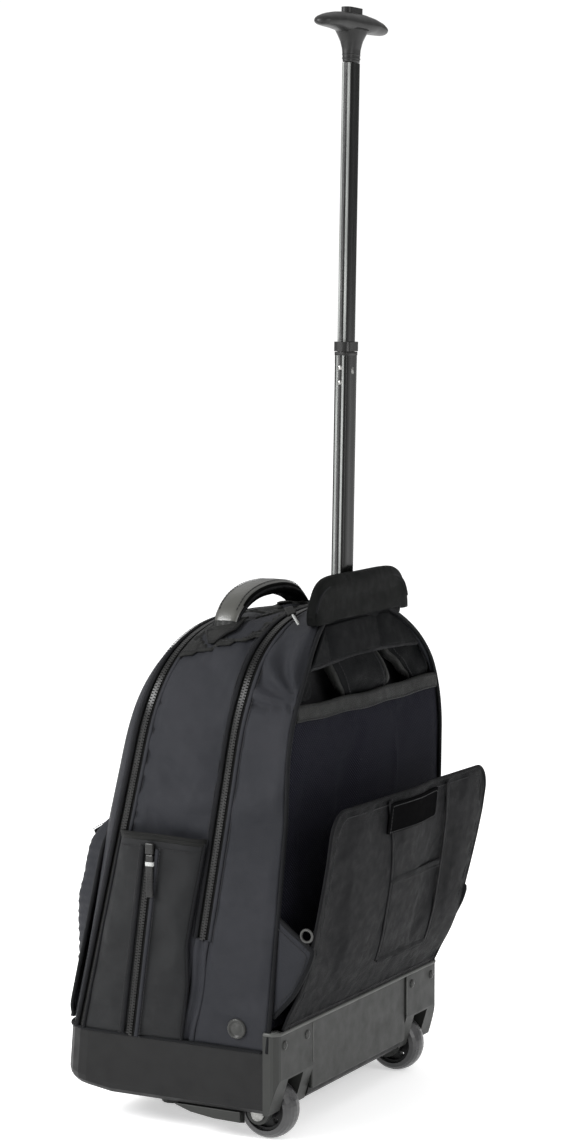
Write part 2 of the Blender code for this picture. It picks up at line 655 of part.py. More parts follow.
def side_pocket(side, sign, proud):
    """A patch pocket, open at its top, on the side of the main gusset."""
    rings = []
    for z, front, back, inner, outer in ((90.0, -88.0, 14.0, 164.2, 169.0),
                                         (270.0, -47.0, 45.5, 164.2, proud)):
        rings.append([(sign * inner, front, z), (sign * outer, front + 4, z),
                      (sign * outer, back - 4, z), (sign * inner, back, z)])
    made = add(f"side_pocket_{side}", loft_bmesh(rings), NYLON)
    mouth = []
    for z, front, back, inner, outer in ((140.0, -56.0, 14.0, 166.4, 167.4),
                                         (280.0, -32.0, 39.0, 166.4, proud - 1.8)):
        mouth.append([(sign * inner, front, z), (sign * outer, front + 2, z),
                      (sign * outer, back - 2, z), (sign * inner, back, z)])
    cut(made, add(f"pocket_mouth_{side}", loft_bmesh(mouth), NYLON, collection=CUTTERS))


def pocket_zip():
    """The slider on the left pocket's upright zip, and the long pull that hangs from it. It slides
    down along (-1/30, -0.152, -1), the line of the zip on the pocket's face."""
    x, y, z = POCKET_ZIP_TOP
    block("pocket_slider", (x, y - 4, z - 7), (SLIDER_FACE_X, y + 4, z + 3), ZIP_BLACK,
          round_by=0.8)
    block("pocket_pull", (x + 1, y - 3.6, z - 46), (x + 3.4, y + 3.6, z - 7.6), ZIP_BLACK,
          POCKET_PULL_HINGE, round_by=0.8)


def laptop_zip_parts():
    """The laptop zip's coil, its slider near the hood, and the pull that lies on the shoulder."""
    zip_line("laptop_zip", MIDDLE, 0.0)
    turn = Vector((1, 0, 0)).rotation_difference(LAPTOP_PULL_RUN).to_matrix().to_4x4()
    place = Matrix.Translation(LAPTOP_SLIDER) @ turn
    slider = box_bmesh((-6, -4, -1.6), (4, 4, 1.6))
    bmesh.ops.transform(slider, matrix=place, verts=slider.verts)
    bevel(add("laptop_slider", slider, ZIP_BLACK), 0.8)
    pull = box_bmesh((4.6, -3, -1.2), (4.6 + LAPTOP_PULL_LENGTH, 3, 1.2))
    place = Matrix.Translation(in_bag(LAPTOP_PULL_HINGE)) @ place
    bmesh.ops.transform(pull, matrix=place, verts=pull.verts)
    bevel(add("laptop_pull", pull, ZIP_BLACK, LAPTOP_PULL_HINGE), 0.8)


# ---------------------------------------------------------------- straps, flap, hood, handles

def strap_path(bulge):
    """(y, z) points down a shoulder strap: out of the yoke, over the pocket's edge and into it."""
    return [(116.5, 416.0), (118.5 + bulge, 412.0), (120.5 + bulge, 406.5), (117.5 + bulge, 400.5),
            (114.0, 395.5), (110.5, 385.0), (109.0, 368.0), (108.0, 340.0), (106.5, 300.0),
            (105.0, 262.0)]


def shoulder_strap(side, upper, lower, bulge):
    """A padded strap that leaves the yoke at one (centre, half width) and reaches the pocket's
    edge, turned and folded, at another."""
    path = strap_path(bulge)
    top, edge = path[0][1], STRAP_EDGE_Z
    rings = []
    for k, (y, z) in enumerate(path):
        before, after = path[max(0, k - 1)], path[min(len(path) - 1, k + 1)]
        along = Vector((0, after[0] - before[0], after[1] - before[1])).normalized()
        out = Vector((0, -along.z, along.y))
        share = min(1.0, (top - z) / (top - edge))
        middle = Vector((lerp(upper[0], lower[0], share), y, z))
        half_width = lerp(upper[1], lower[1], share)
        ring = []
        for u, v in ((-1, -0.5), (-0.9, -1), (0.9, -1), (1, -0.5), (1, 0.5), (0.9, 1), (-0.9, 1),
                     (-1, 0.5)):
            ring.append(middle + Vector((u * half_width, 0, 0)) + out * (v * STRAP_HALF_THICKNESS))
        rings.append(ring)
    add(f"shoulder_strap_{side}", loft_bmesh(rings), COATED)


def strap_anchor(side, sign):
    """A three-cornered wing sewn into the side seam, and the small ring at its tip."""
    outline = ((107.5, 122.0), (126.0, 140.0), (141.0, 168.0), (143.0, 180.0), (137.0, 186.0),
               (111.5, 205.0))
    rings = [[(sign * x, y, z) for y, z in outline] for x in (159.4, 163.0)]
    made = add(f"strap_wing_{side}", loft_bmesh(rings), NYLON)
    bevel(made, 0.8)
    bm = bmesh.new()
    centre, ring_radius, wire = Vector((sign * 161.2, 139.0, 194.4)), 5.5, 1.2
    loops = []
    for turn in range(14):
        bend = 2 * math.pi * turn / 14
        out = Vector((0, math.cos(bend), math.sin(bend)))
        loop = []
        for k in range(6):
            angle = 2 * math.pi * k / 6
            point = centre + out * (ring_radius + wire * math.cos(angle))
            loop.append(bm.verts.new(point + Vector((wire * math.sin(angle), 0, 0))))
        loops.append(loop)
    for one, two in zip(loops, loops[1:] + loops[:1]):
        for k in range(6):
            j = (k + 1) % 6
            bm.faces.new((one[k], one[j], two[j], two[k]))
    add(f"strap_ring_{side}", bm, STEEL)


FLAP_PROFILE = ((115.0, 105.4), (121.5, 120.0), (131.0, 138.0), (137.0, 153.0), (142.5, 170.0),
                (147.5, 190.0), (152.5, 210.0), (158.0, 234.0), (163.0, 258.0), (166.3, 280.0),
                (168.6, 303.0))


def rear_flap():
    """The cloth cover that hangs over the wheels when the bag is worn, standing off the back."""
    corner = 24.0
    top = FLAP_PROFILE[-1][1]
    heights = [z for _, z in FLAP_PROFILE[:-1]] + [291.0, 298.0, top]
    rows = []
    for z in heights:
        for (y0, z0), (y1, z1) in zip(FLAP_PROFILE, FLAP_PROFILE[1:]):
            if z0 <= z <= z1:
                y = lerp(y0, y1, (z - z0) / (z1 - z0))
        below = max(0.0, z - (top - corner))
        half = lerp(155.5, 160.0, min(1.0, (z - 105.0) / 160.0))
        half -= corner - math.sqrt(max(0.0, corner ** 2 - below ** 2))
        rows.append([Vector((u * half, y, z)) + in_bag(FLAP_HINGE) for u in steps(-1, 1, 8)])
    made = add("rear_flap", sheet_bmesh(rows), NYLON, FLAP_HINGE, away_from=(0, -500, 100))
    solidify(made, 4.4, 0.0)


def hood():
    """The padded cover behind the pole, which folds back to free the grip."""
    columns = 14
    rings = []
    for k in range(columns + 1):
        x = HOOD_HALF_WIDTH * math.sin(math.pi * (k / columns - 0.5))
        share = abs(x) / BACK.high_width
        rim = BACK.spring + (BACK.top - BACK.spring) * math.sqrt(1 - share ** 2)
        low = max(rim + 1.6, HOOD_AXIS_Z + 3.0)
        arch = (1 - abs(x / HOOD_HALF_WIDTH) ** 5) ** (1 / 3)
        high = lerp(low + 2, HOOD_TOP, arch)
        ring = []
        for face, levels in ((1, (0.0, 0.15, 0.5, 0.85, 1.0)), (-1, (1.0, 0.85, 0.5, 0.15, 0.0))):
            for v in levels:
                swell = HOOD_THICKNESS / 2 * math.sin(math.pi * (0.12 + 0.76 * v))
                ring.append(Vector((x, HOOD_Y + face * swell, lerp(low, high, v)))
                            + in_bag(HOOD_HINGE))
        rings.append(ring)
    add("hood", loft_bmesh(rings), COATED, HOOD_HINGE)


def grab_handle():
    """A padded arch whose two feet stand on the sewn anchors."""
    start = math.asin((HANDLE_LEFT_FOOT_Z - HANDLE_SPRING_Z) / HANDLE_RISE)
    end = math.pi - math.asin((HANDLE_RIGHT_FOOT_Z - HANDLE_SPRING_Z) / HANDLE_RISE)
    path = []
    for k in range(13):
        angle = lerp(start, end, k / 12)
        path.append((HANDLE_HALF_SPAN * math.cos(angle),
                     HANDLE_SPRING_Z - HANDLE_AXIS_Z + HANDLE_RISE * math.sin(angle)))
    last = len(path) - 1
    rings = []
    for k, (x, z) in enumerate(path):
        before, after = path[max(0, k - 1)], path[min(last, k + 1)]
        along = Vector((after[0] - before[0], 0, after[1] - before[1])).normalized()
        out = Vector((-along.z, 0, along.x))
        share = min(1.0, 1.7 * min(k, last - k) / (last // 2))
        thick, wide = lerp(2.2, 6.5, share), lerp(8.0, 13.0, share)
        ring = []
        for n in range(12):
            a, b = (math.copysign(abs(v) ** 0.7, v)
                    for v in (math.cos(math.pi * n / 6), math.sin(math.pi * n / 6)))
            ring.append(Vector((x, wide * a, z)) + out * (thick * b))
        rings.append(ring)
    add("grab_handle", loft_bmesh(rings), HANDLE_SKIN, HANDLE_HINGE)


def handle_anchor(side, x, z, tilt):
    """A stiff sewn tab on the gusset beside one foot of the grab handle."""
    bm = box_bmesh((-8, -13, -1.4), (8, 13, 1.4))
    turn = Matrix.Rotation(math.radians(tilt), 4, "Y") @ Matrix.Rotation(math.radians(6.8), 4, "X")
    place = Matrix.Translation((x, HANDLE_Y, z))
    bmesh.ops.transform(bm, matrix=place @ turn, verts=bm.verts)
    made = add(f"handle_anchor_{side}", bm, WEBBING)
    bevel(made, 0.8)


# ---------------------------------------------------------------- build

def build():
    bottom_tub()
    block("base_board", (-150, -60, 31.6), (150, 50, 35.0), BOARD, round_by=0.8)
    kick_plate()
    for side, sign in SIDES:
        wheel_housing(side, sign)
        axle(side, sign)
        wheel(side, sign)
        skid_rail(side, sign)
        front_foot(side, sign)
        strap_anchor(side, sign)
    handle_anchor("left", 103.0, 448.7, 22.0)
    handle_anchor("right", -47.0, 461.4, -3.0)
    pole()
    bag_walls()
    front_door()
    side_pocket("left", 1, 175.0)
    side_pocket("right", -1, SLIDER_FACE_X)
    pocket_zip()
    laptop_zip_parts()
    shoulder_strap("left", (35.0, 43.0), (10.0, 38.0), 9.0)
    shoulder_strap("right", (-68.0, 42.0), (-108.0, 20.0), 2.0)
    rear_flap()
    hood()
    grab_handle()
    rod("side_rondel", (165.9, 71.5, 105.0), (1, 0, 0), 8.5, 2.4, GRIP_PLASTIC, segments=20)


build()
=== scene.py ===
"""The looks of the rolling laptop backpack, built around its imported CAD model.

Shapes are written in millimetres in the bag's own frame, where y = TUB_BACK is the back of the tub
and z = 0 the floor, and are turned into the CAD frame's metres as each mesh is made. x runs to the
bag's left. y runs to its back, where the wheels are."""
import json
import math

import bmesh
import bpy
import numpy as np
from mathutils import Matrix, Vector, noise


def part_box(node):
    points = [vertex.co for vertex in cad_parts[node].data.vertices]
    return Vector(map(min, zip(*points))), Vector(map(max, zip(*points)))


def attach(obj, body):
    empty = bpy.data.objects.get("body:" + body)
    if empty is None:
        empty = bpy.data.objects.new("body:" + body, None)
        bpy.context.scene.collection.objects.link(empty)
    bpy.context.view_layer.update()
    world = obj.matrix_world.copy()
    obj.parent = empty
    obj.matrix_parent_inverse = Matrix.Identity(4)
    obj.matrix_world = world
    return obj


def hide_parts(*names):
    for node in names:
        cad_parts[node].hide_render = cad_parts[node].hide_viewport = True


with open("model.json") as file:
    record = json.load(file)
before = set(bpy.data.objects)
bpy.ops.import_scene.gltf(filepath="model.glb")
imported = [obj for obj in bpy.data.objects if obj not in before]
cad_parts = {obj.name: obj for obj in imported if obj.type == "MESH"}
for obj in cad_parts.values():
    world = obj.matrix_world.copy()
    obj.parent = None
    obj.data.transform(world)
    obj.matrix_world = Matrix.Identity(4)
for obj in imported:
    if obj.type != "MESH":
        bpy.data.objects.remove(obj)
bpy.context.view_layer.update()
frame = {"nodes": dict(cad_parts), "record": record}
NODES = frame["nodes"]

MM = 0.001
TUB_BACK = 107.0
TUB_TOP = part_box("bottom_tub")[1].z / MM
DEPTH_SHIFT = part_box("bottom_tub")[1].y / MM - TUB_BACK
ROW_SHIFT = np.array((0.0, DEPTH_SHIFT, 0.0))
SIDES = (("left", 1), ("right", -1))


# ---------------------------------------------------------------- camera, floor and light

def bag_point(x, y, z):
    return Vector((x, y + DEPTH_SHIFT, z)) * MM


def camera():
    """The photograph's view, from behind and to the left, a little above the bag."""
    turn, tilt = math.radians(28.0), math.radians(5.31)
    data = bpy.data.cameras.new("camera")
    data.sensor_width = 36.0
    data.lens = 90.35
    made = bpy.data.objects.new("camera", data)
    made.location = bag_point(2337.0, 1273.0, 743.0)
    ahead = -Vector((math.cos(turn) * math.cos(tilt), math.sin(turn) * math.cos(tilt),
                     math.sin(tilt)))
    made.rotation_euler = ahead.to_track_quat("-Z", "Y").to_euler()
    bpy.context.scene.collection.objects.link(made)
    bpy.context.scene.camera = made


def area_light(name, place, size, power, target=(0.0, 0.0, 0.35)):
    data = bpy.data.lights.new(name, "AREA")
    data.shape = "RECTANGLE"
    data.size, data.size_y = size
    data.energy = power
    made = bpy.data.objects.new(name, data)
    made.location = place
    aim = Vector(target) - Vector(place)
    made.rotation_euler = aim.to_track_quat("-Z", "Y").to_euler()
    bpy.context.scene.collection.objects.link(made)


def studio():
    """A pale floor and a white room, lit by a soft key, a fill from the rear and two strips."""
    scene = bpy.context.scene
    scene.view_settings.view_transform = "Standard"
    world = bpy.data.worlds.new("studio")
    world.use_nodes = True
    nodes, links = world.node_tree.nodes, world.node_tree.links
    backdrop = nodes["Background"]
    backdrop.inputs["Color"].default_value = (1.0, 1.0, 1.0, 1.0)
    backdrop.inputs["Strength"].default_value = 1.05
    room = nodes.new("ShaderNodeBackground")
    place = nodes.new("ShaderNodeTexCoord")
    split = nodes.new("ShaderNodeSeparateXYZ")
    ramp = nodes.new("ShaderNodeValToRGB")
    ramp.color_ramp.elements[0].position = 0.46
    ramp.color_ramp.elements[0].color = (0.16, 0.16, 0.165, 1.0)
    ramp.color_ramp.elements[1].position = 0.92
    ramp.color_ramp.elements[1].color = (1.0, 1.0, 1.0, 1.0)
    shift = nodes.new("ShaderNodeMath")
    shift.operation = "MULTIPLY_ADD"
    shift.inputs[1].default_value = 0.5
    shift.inputs[2].default_value = 0.5
    links.new(place.outputs["Generated"], split.inputs[0])
    links.new(split.outputs["Z"], shift.inputs[0])
    links.new(shift.outputs[0], ramp.inputs["Fac"])
    links.new(ramp.outputs["Color"], room.inputs["Color"])
    room.inputs["Strength"].default_value = 0.95
    choose = nodes.new("ShaderNodeMixShader")
    rays = nodes.new("ShaderNodeLightPath")
    links.new(rays.outputs["Is Camera Ray"], choose.inputs[0])
    links.new(room.outputs[0], choose.inputs[1])
    links.new(backdrop.outputs[0], choose.inputs[2])
    links.new(choose.outputs[0], nodes["World Output"].inputs["Surface"])
    scene.world = world
    area_light("key", (1.9, -1.5, 1.7), (1.0, 1.0), 82.0)
    area_light("rear_fill", (0.6, 2.6, 1.5), (1.6, 1.2), 16.0)
    area_light("strip_left", (2.4, -0.9, 0.8), (0.25, 1.8), 20.0, (0, 0, 0.7))
    area_light("strip_right", (0.2, 2.4, 0.9), (0.3, 1.8), 16.0, (0, 0, 0.7))
    mesh = bpy.data.meshes.new("floor")
    reach = 30.0
    mesh.from_pydata([(-reach, -reach, 0), (reach, -reach, 0), (reach, reach, 0),
                      (-reach, reach, 0)], [], [(0, 1, 2, 3)])
    floor = bpy.data.objects.new("floor", mesh)
    bpy.context.scene.collection.objects.link(floor)
    pale = bpy.data.materials.new("pale_floor")
    pale.use_nodes = True
    inputs = pale.node_tree.nodes["Principled BSDF"].inputs
    inputs["Base Color"].default_value = (0.9, 0.9, 0.9, 1)
    inputs["Roughness"].default_value = 0.85
    inputs["Emission Color"].default_value = (1, 1, 1, 1)
    inputs["Emission Strength"].default_value = 0.48
    mesh.materials.append(pale)


# ---------------------------------------------------------------- materials

class Shading:
    """A Principled material and short ways to add procedural detail to it."""

    def __init__(self, name, roughness, metallic=0.0):
        self.material = bpy.data.materials.new(name)
        self.material.use_nodes = True
        self.nodes = self.material.node_tree.nodes
        self.links = self.material.node_tree.links
        self.shader = self.nodes["Principled BSDF"]
        self.shader.inputs["Metallic"].default_value = metallic
        self.shader.inputs["Roughness"].default_value = roughness
        self.where = self.nodes.new("ShaderNodeTexCoord").outputs["Object"]
        self.height = None

    def set(self, **values):
        for name, value in values.items():
            self.shader.inputs[name.replace("_", " ")].default_value = value
        return self

    def noise(self, size_mm, detail=3.0, stretch=None):
        """Noise whose blotches are about size_mm across."""
        made = self.nodes.new("ShaderNodeTexNoise")
        made.inputs["Scale"].default_value = 1000.0 / size_mm
        made.inputs["Detail"].default_value = detail
        source = self.where
        if stretch:
            bend = self.nodes.new("ShaderNodeMapping")
            bend.inputs["Scale"].default_value = stretch
            self.links.new(source, bend.inputs["Vector"])
            source = bend.outputs[0]
        self.links.new(source, made.inputs["Vector"])
        return made.outputs["Fac"]

    def math(self, operation, a, b=0.0):
        made = self.nodes.new("ShaderNodeMath")
        made.operation = operation
        for socket, value in zip(made.inputs, (a, b)):
            if isinstance(value, (int, float)):
                socket.default_value = value
            else:
                self.links.new(value, socket)
        return made.outputs[0]

    def colour(self, dark, light, by, low=0.3, high=0.7):
        """The base colour runs from dark to light as the value goes from low to high."""
        ramp = self.nodes.new("ShaderNodeValToRGB")
        for element, place, shade in zip(ramp.color_ramp.elements, (low, high), (dark, light)):
            element.position = place
            element.color = (*shade, 1.0)
        self.links.new(by, ramp.inputs["Fac"])
        self.links.new(ramp.outputs["Color"], self.shader.inputs["Base Color"])
        return self

    def rough(self, low, high, by):
        spread = self.nodes.new("ShaderNodeMapRange")
        spread.inputs["From Min"].default_value = 0.3
        spread.inputs["From Max"].default_value = 0.7
        spread.inputs["To Min"].default_value = low
        spread.inputs["To Max"].default_value = high
        self.links.new(by, spread.inputs["Value"])
        self.links.new(spread.outputs[0], self.shader.inputs["Roughness"])
        return self

    def bump(self, height, depth_mm, strength=1.0):
        made = self.nodes.new("ShaderNodeBump")
        made.inputs["Distance"].default_value = depth_mm * MM
        made.inputs["Strength"].default_value = strength
        self.links.new(height, made.inputs["Height"])
        if self.height:
            self.links.new(self.height, made.inputs["Normal"])
        self.height = made.outputs[0]
        self.links.new(self.height, self.shader.inputs["Normal"])
        return self

    def threads(self, pitch_mm, along=(1.0, 1.0)):
        """A plain weave from the cloth's own flat coordinates, which are in metres."""
        flat = self.nodes.new("ShaderNodeUVMap")
        flat.uv_map = "cloth"
        scale = self.nodes.new("ShaderNodeVectorMath")
        scale.operation = "MULTIPLY"
        turns = 2 * math.pi * 1000.0 / pitch_mm
        scale.inputs[1].default_value = (turns * along[0], turns * along[1], 0.0)
        self.links.new(flat.outputs[0], scale.inputs[0])
        split = self.nodes.new("ShaderNodeSeparateXYZ")
        self.links.new(scale.outputs[0], split.inputs[0])
        warp = self.math("SINE", split.outputs["X"])
        weft = self.math("SINE", split.outputs["Y"])
        return warp, weft

    def weave(self, pitch_mm, depth_mm):
        """Warp and weft that pass over and under each other."""
        warp, weft = self.threads(pitch_mm)
        self.bump(self.math("MULTIPLY", warp, weft), depth_mm)
        return self


def woven(name, dark, light, pitch, roughness, gloss=0.10, sheen=0.02):
    made = Shading(name, roughness)
    made.colour(dark, light, made.noise(60.0, 4.0))
    made.rough(roughness - 0.06, roughness + 0.08, made.noise(9.0, 2.0))
    made.weave(pitch, 0.10)
    made.bump(made.noise(2.2, 2.0), 0.12, 0.6)
    made.set(Sheen_Weight=sheen, Sheen_Roughness=0.45, Specular_IOR_Level=gloss)
    return made.material


def moulded(name, dark, light, roughness, grain, depth):
    made = Shading(name, roughness)
    made.colour(dark, light, made.noise(35.0, 3.0))
    made.rough(roughness - 0.07, roughness + 0.10, made.noise(14.0, 4.0))
    made.bump(made.noise(grain, 2.0), depth)
    made.set(Specular_IOR_Level=0.2)
    return made.material


def air_mesh():
    """Spacer mesh: rows of small holes over a soft backing."""
    made = Shading("air_mesh", 0.9)
    warp, weft = made.threads(3.2)
    cell = made.math("MULTIPLY", warp, weft)
    made.colour((0.0045, 0.0045, 0.0075), (0.017, 0.0175, 0.024), cell, 0.0, 0.6)
    made.bump(cell, 0.45)
    made.bump(made.noise(1.2, 2.0), 0.1)
    made.set(Sheen_Weight=0.0, Specular_IOR_Level=0.06)
    return made.material


def ribbed(name, dark, light, pitch, along):
    """Webbing or zip tape, whose ribs cross it."""
    made = Shading(name, 0.62)
    warp, weft = made.threads(pitch, along)
    made.colour(dark, light, made.noise(18.0, 3.0))
    made.bump(weft if along[1] else warp, 0.18)
    made.bump(made.noise(0.9, 2.0), 0.08)
    made.set(Specular_IOR_Level=0.06)
    return made.material


def polished_tube():
    """Black anodised tube, with bright lines painted beside the flutes of its narrow faces: painted
    highlights for the reflections of the studio strips, faded up and down by noise.
    """
    made = Shading("black_tube", 0.2)
    depth = Matrix.Rotation(-POLE_LEAN, 3, "X") @ Vector((0, 1, 0))
    place = made.nodes.new("ShaderNodeVectorMath")
    place.operation = "DOT_PRODUCT"
    place.inputs[1].default_value = depth
    made.links.new(made.where, place.inputs[0])
    foot = (POLE_FOOT_Y + DEPTH_SHIFT) * MM * depth.y
    off = made.math("ABSOLUTE", made.math("SUBTRACT", place.outputs["Value"], foot))
    split = made.nodes.new("ShaderNodeSeparateXYZ")
    made.links.new(made.where, split.inputs[0])
    across = made.math("ABSOLUTE", split.outputs["X"])
    side = made.math("GREATER_THAN", across, 0.0085)
    line = made.math("LESS_THAN", made.math("ABSOLUTE", made.math("SUBTRACT", off, 0.0030)), 0.0010)
    painted_highlight = made.math("MULTIPLY", made.math("MULTIPLY", side, line),
                     made.noise(8.0, 2.0, (0.1, 0.1, 0.06)))
    # The pale lines are painted highlights for the studio strips' reflections, faded by stretched
    # noise.
    made.colour((0.0035, 0.0038, 0.0034), (0.30, 0.31, 0.30), painted_highlight, 0.05, 0.75)
    made.rough(0.14, 0.26, made.noise(6.0, 4.0, (3.0, 3.0, 0.12)))
    made.set(Specular_IOR_Level=0.22)
    return made.material


def coated_leather():
    made = Shading("handle_skin", 0.34)
    made.colour((0.024, 0.024, 0.020), (0.046, 0.046, 0.040), made.noise(25.0, 3.0))
    cells = made.nodes.new("ShaderNodeTexVoronoi")
    cells.inputs["Scale"].default_value = 700.0
    made.links.new(made.where, cells.inputs["Vector"])
    made.bump(cells.outputs["Distance"], 0.10)
    made.rough(0.26, 0.42, made.noise(12.0, 3.0))
    made.set(Coat_Weight=0.35, Coat_Roughness=0.3)
    return made.material


def brushed():
    made = Shading("steel", 0.3, 1.0)
    made.colour((0.16, 0.16, 0.155), (0.26, 0.26, 0.25), made.noise(5.0, 3.0))
    made.rough(0.22, 0.38, made.noise(3.0, 3.0))
    made.bump(made.noise(0.5, 2.0), 0.01)
    return made.material


def tyre_rubber():
    made = Shading("tyre_rubber", 0.32)
    made.colour((0.016, 0.016, 0.017), (0.034, 0.034, 0.035), made.noise(16.0, 4.0))
    made.rough(0.22, 0.5, made.noise(7.0, 4.0))
    made.bump(made.noise(0.8, 3.0), 0.03)
    made.set(Coat_Weight=0.25, Coat_Roughness=0.25)
    return made.material


POLE_FOOT_Y, POLE_LEAN = 82.8, math.radians(1.0)

NYLON = woven("bag_nylon", (0.0125, 0.0133, 0.0161), (0.0182, 0.0188, 0.0223), 1.3, 0.52)
# Painted shade: the flap's nylon is the bag's nylon painted about a third as bright, for the flap
# that faces the back, away from the key light.
SHADED_FLAP_NYLON = woven("flap_nylon_painted_shade", (0.0046, 0.0047, 0.0052), (0.0064, 0.0065, 0.0072),
                   1.3, 0.52, 0.05, 0.0)
TOP_PANEL = woven("top_panel", (0.0095, 0.0097, 0.0095), (0.0130, 0.0132, 0.0125), 1.0, 0.42, 0.08)
BINDING = woven("binding", (0.0054, 0.0055, 0.0052), (0.0078, 0.0082, 0.0075), 1.0, 0.50)
PIPING = woven("piping", (0.0045, 0.0048, 0.0054), (0.0077, 0.0080, 0.0090), 0.9, 0.55, 0.06)
LINING = woven("lining", (0.0151, 0.0154, 0.0168), (0.0208, 0.0212, 0.0229), 0.8, 0.75)
AIR_MESH = air_mesh()
ZIP_TAPE = ribbed("zip_tape", (0.0074, 0.0077, 0.0074), (0.0106, 0.0109, 0.0106), 1.1, (0.0, 1.0))
WEBBING = ribbed("webbing", (0.0069, 0.0069, 0.0073), (0.0115, 0.0115, 0.0119), 1.6, (0.0, 1.0))
HOOK_TAPE = woven("hook_tape", (0.0022, 0.0022, 0.0024), (0.0034, 0.0034, 0.0037),
                  0.7, 0.9, 0.01, 0.0)
THREAD = moulded("thread", (0.0077, 0.0077, 0.0085), (0.0130, 0.0130, 0.0142), 0.6, 0.5, 0.02)
HANDLE_SKIN = coated_leather()
BOOT = moulded("tub_plastic", (0.0026, 0.0026, 0.0028), (0.0033, 0.0034, 0.0035), 0.50, 0.8, 0.025)
PLATE = moulded("plate_plastic", (0.0183, 0.0190, 0.0178), (0.0240, 0.0250, 0.0236),
                0.42, 1.0, 0.05)
GRIP = moulded("grip_plastic", (0.0104, 0.0104, 0.0104), (0.0150, 0.0150, 0.0146), 0.36, 0.7, 0.02)
HUB = moulded("hub_plastic", (0.0054, 0.0054, 0.0059), (0.0099, 0.0099, 0.0103), 0.4, 0.7, 0.02)
BOARD = moulded("board", (0.0036, 0.0036, 0.0042), (0.0072, 0.0072, 0.0081), 0.8, 1.5, 0.2)
ZIP_BLACK = moulded("zip_black", (0.0067, 0.0067, 0.0067), (0.0144, 0.0144, 0.0139),
                    0.30, 0.6, 0.02)
DULL_METAL = moulded("dull_metal", (0.0306, 0.0306, 0.0296), (0.0497, 0.0497, 0.0478),
                     0.34, 0.6, 0.01)
YOKE_CLOTH = woven("yoke_cloth", (0.0029, 0.0032, 0.0035), (0.0052, 0.0055, 0.0060),
                   0.9, 0.50, 0.03, 0.0)
HOOD_CLOTH = woven("hood_cloth", (0.0036, 0.0038, 0.0038), (0.0059, 0.0063, 0.0060),
                   0.9, 0.46, 0.03, 0.0)
# Painted shade: the handle's underside is painted near-black for the shade under its arch.
HANDLE_UNDER_SHADE = woven("handle_under_painted_shade", (0.0011, 0.0011, 0.0011), (0.0022, 0.0022, 0.0020),
                     0.8, 0.7, 0.03, 0.0)
HANDLE_BAND = woven("handle_band", (0.0112, 0.0116, 0.0112), (0.0168, 0.0175, 0.0171), 1.1, 0.36)
POCKET_CLOTH = woven("pocket_cloth", (0.0088, 0.0090, 0.0097), (0.0129, 0.0135, 0.0141), 1.3, 0.50)
# Painted highlight: lip, corners and joints are painted paler than the plate for the highlight
# along the plate's top edge.
PLATE_EDGE_HIGHLIGHT = moulded("plate_edge_painted_highlight", (0.0496, 0.0510, 0.0482), (0.0662, 0.0680, 0.0643),
                     0.34, 1.0, 0.03)
SCREW = moulded("screw", (0.0209, 0.0214, 0.0202), (0.0320, 0.0327, 0.0310), 0.26, 0.7, 0.01)
PALE_METAL = moulded("pale_metal", (0.2400, 0.2460, 0.2400), (0.3600, 0.3660, 0.3600),
                     0.3, 0.6, 0.01)
BLACK_TUBE = polished_tube()
STEEL = brushed()
TYRE = tyre_rubber()


# ---------------------------------------------------------------- mesh helpers

PIECES = []  # every mesh made here, with the body that it rides on


def new_piece(name, points, faces, surface, body, flat=None):
    """A mesh from points in the bag's millimetres. flat gives each point's place on the cloth."""
    mesh = bpy.data.meshes.new(name)
    placed = (np.asarray(points, float).reshape(-1, 3) + ROW_SHIFT) * MM
    mesh.from_pydata(placed.tolist(), [], faces)
    if flat is not None:
        layer = mesh.uv_layers.new(name="cloth")
        index = np.empty(len(mesh.loops), np.int32)
        mesh.loops.foreach_get("vertex_index", index)
        layer.data.foreach_set("uv", (np.asarray(flat)[index] * MM).astype(np.float32).ravel())
    mesh.materials.append(surface)
    mesh.shade_smooth()
    made = bpy.data.objects.new(name, mesh)
    bpy.context.scene.collection.objects.link(made)
    PIECES.append((made, body))
    return made


def grid_faces(rows, columns, closed=False):
    wide = columns if closed else columns - 1
    return [(r * columns + c, r * columns + (c + 1) % columns,
             (r + 1) * columns + (c + 1) % columns, (r + 1) * columns + c)
            for r in range(rows - 1) for c in range(wide)]


def flat_places(points):
    """How far each grid point is along its row and its column, in millimetres."""
    across = np.linalg.norm(np.diff(points, axis=1), axis=2)
    along = np.linalg.norm(np.diff(points, axis=0), axis=2)
    u = np.concatenate([np.zeros((points.shape[0], 1)), np.cumsum(across, axis=1)], axis=1)
    v = np.concatenate([np.zeros((1, points.shape[1])), np.cumsum(along, axis=0)], axis=0)
    return np.stack([u, v], axis=2).reshape(-1, 2)


def grid_normals(points):
    down, across = np.gradient(points, axis=0), np.gradient(points, axis=1)
    normals = np.cross(across, down)
    return normals / np.maximum(np.linalg.norm(normals, axis=2, keepdims=True), 1e-9)


def facing(points, inside):
    """The grid, with its columns reversed if that is what makes its normals point outwards."""
    away = points - np.asarray(inside, float)
    if (grid_normals(points) * away).sum() < 0:
        return points[:, ::-1]
    return points


def cloth(name, points, surface, body, inside, thickness, offset=-1.0):
    """A piece of cloth from a grid of points, whose outer side faces away from a point inside."""
    points = facing(np.asarray(points, float), inside)
    rows, columns = points.shape[:2]
    faces = [face[::-1] for face in grid_faces(rows, columns)]
    made = new_piece(name, points, faces, surface, body, flat_places(points))
    orient(made, inside)
    wall = made.modifiers.new("wall", "SOLIDIFY")
    wall.thickness = thickness * MM
    wall.offset = offset
    return made


def orient(made, inside):
    """Turns the faces over if most of them look towards the point inside."""
    mesh = made.data
    middle = bag_point(*inside)
    looking = sum(p.normal.dot(p.center - middle) * p.area for p in mesh.polygons)
    if looking < 0:
        mesh.flip_normals()


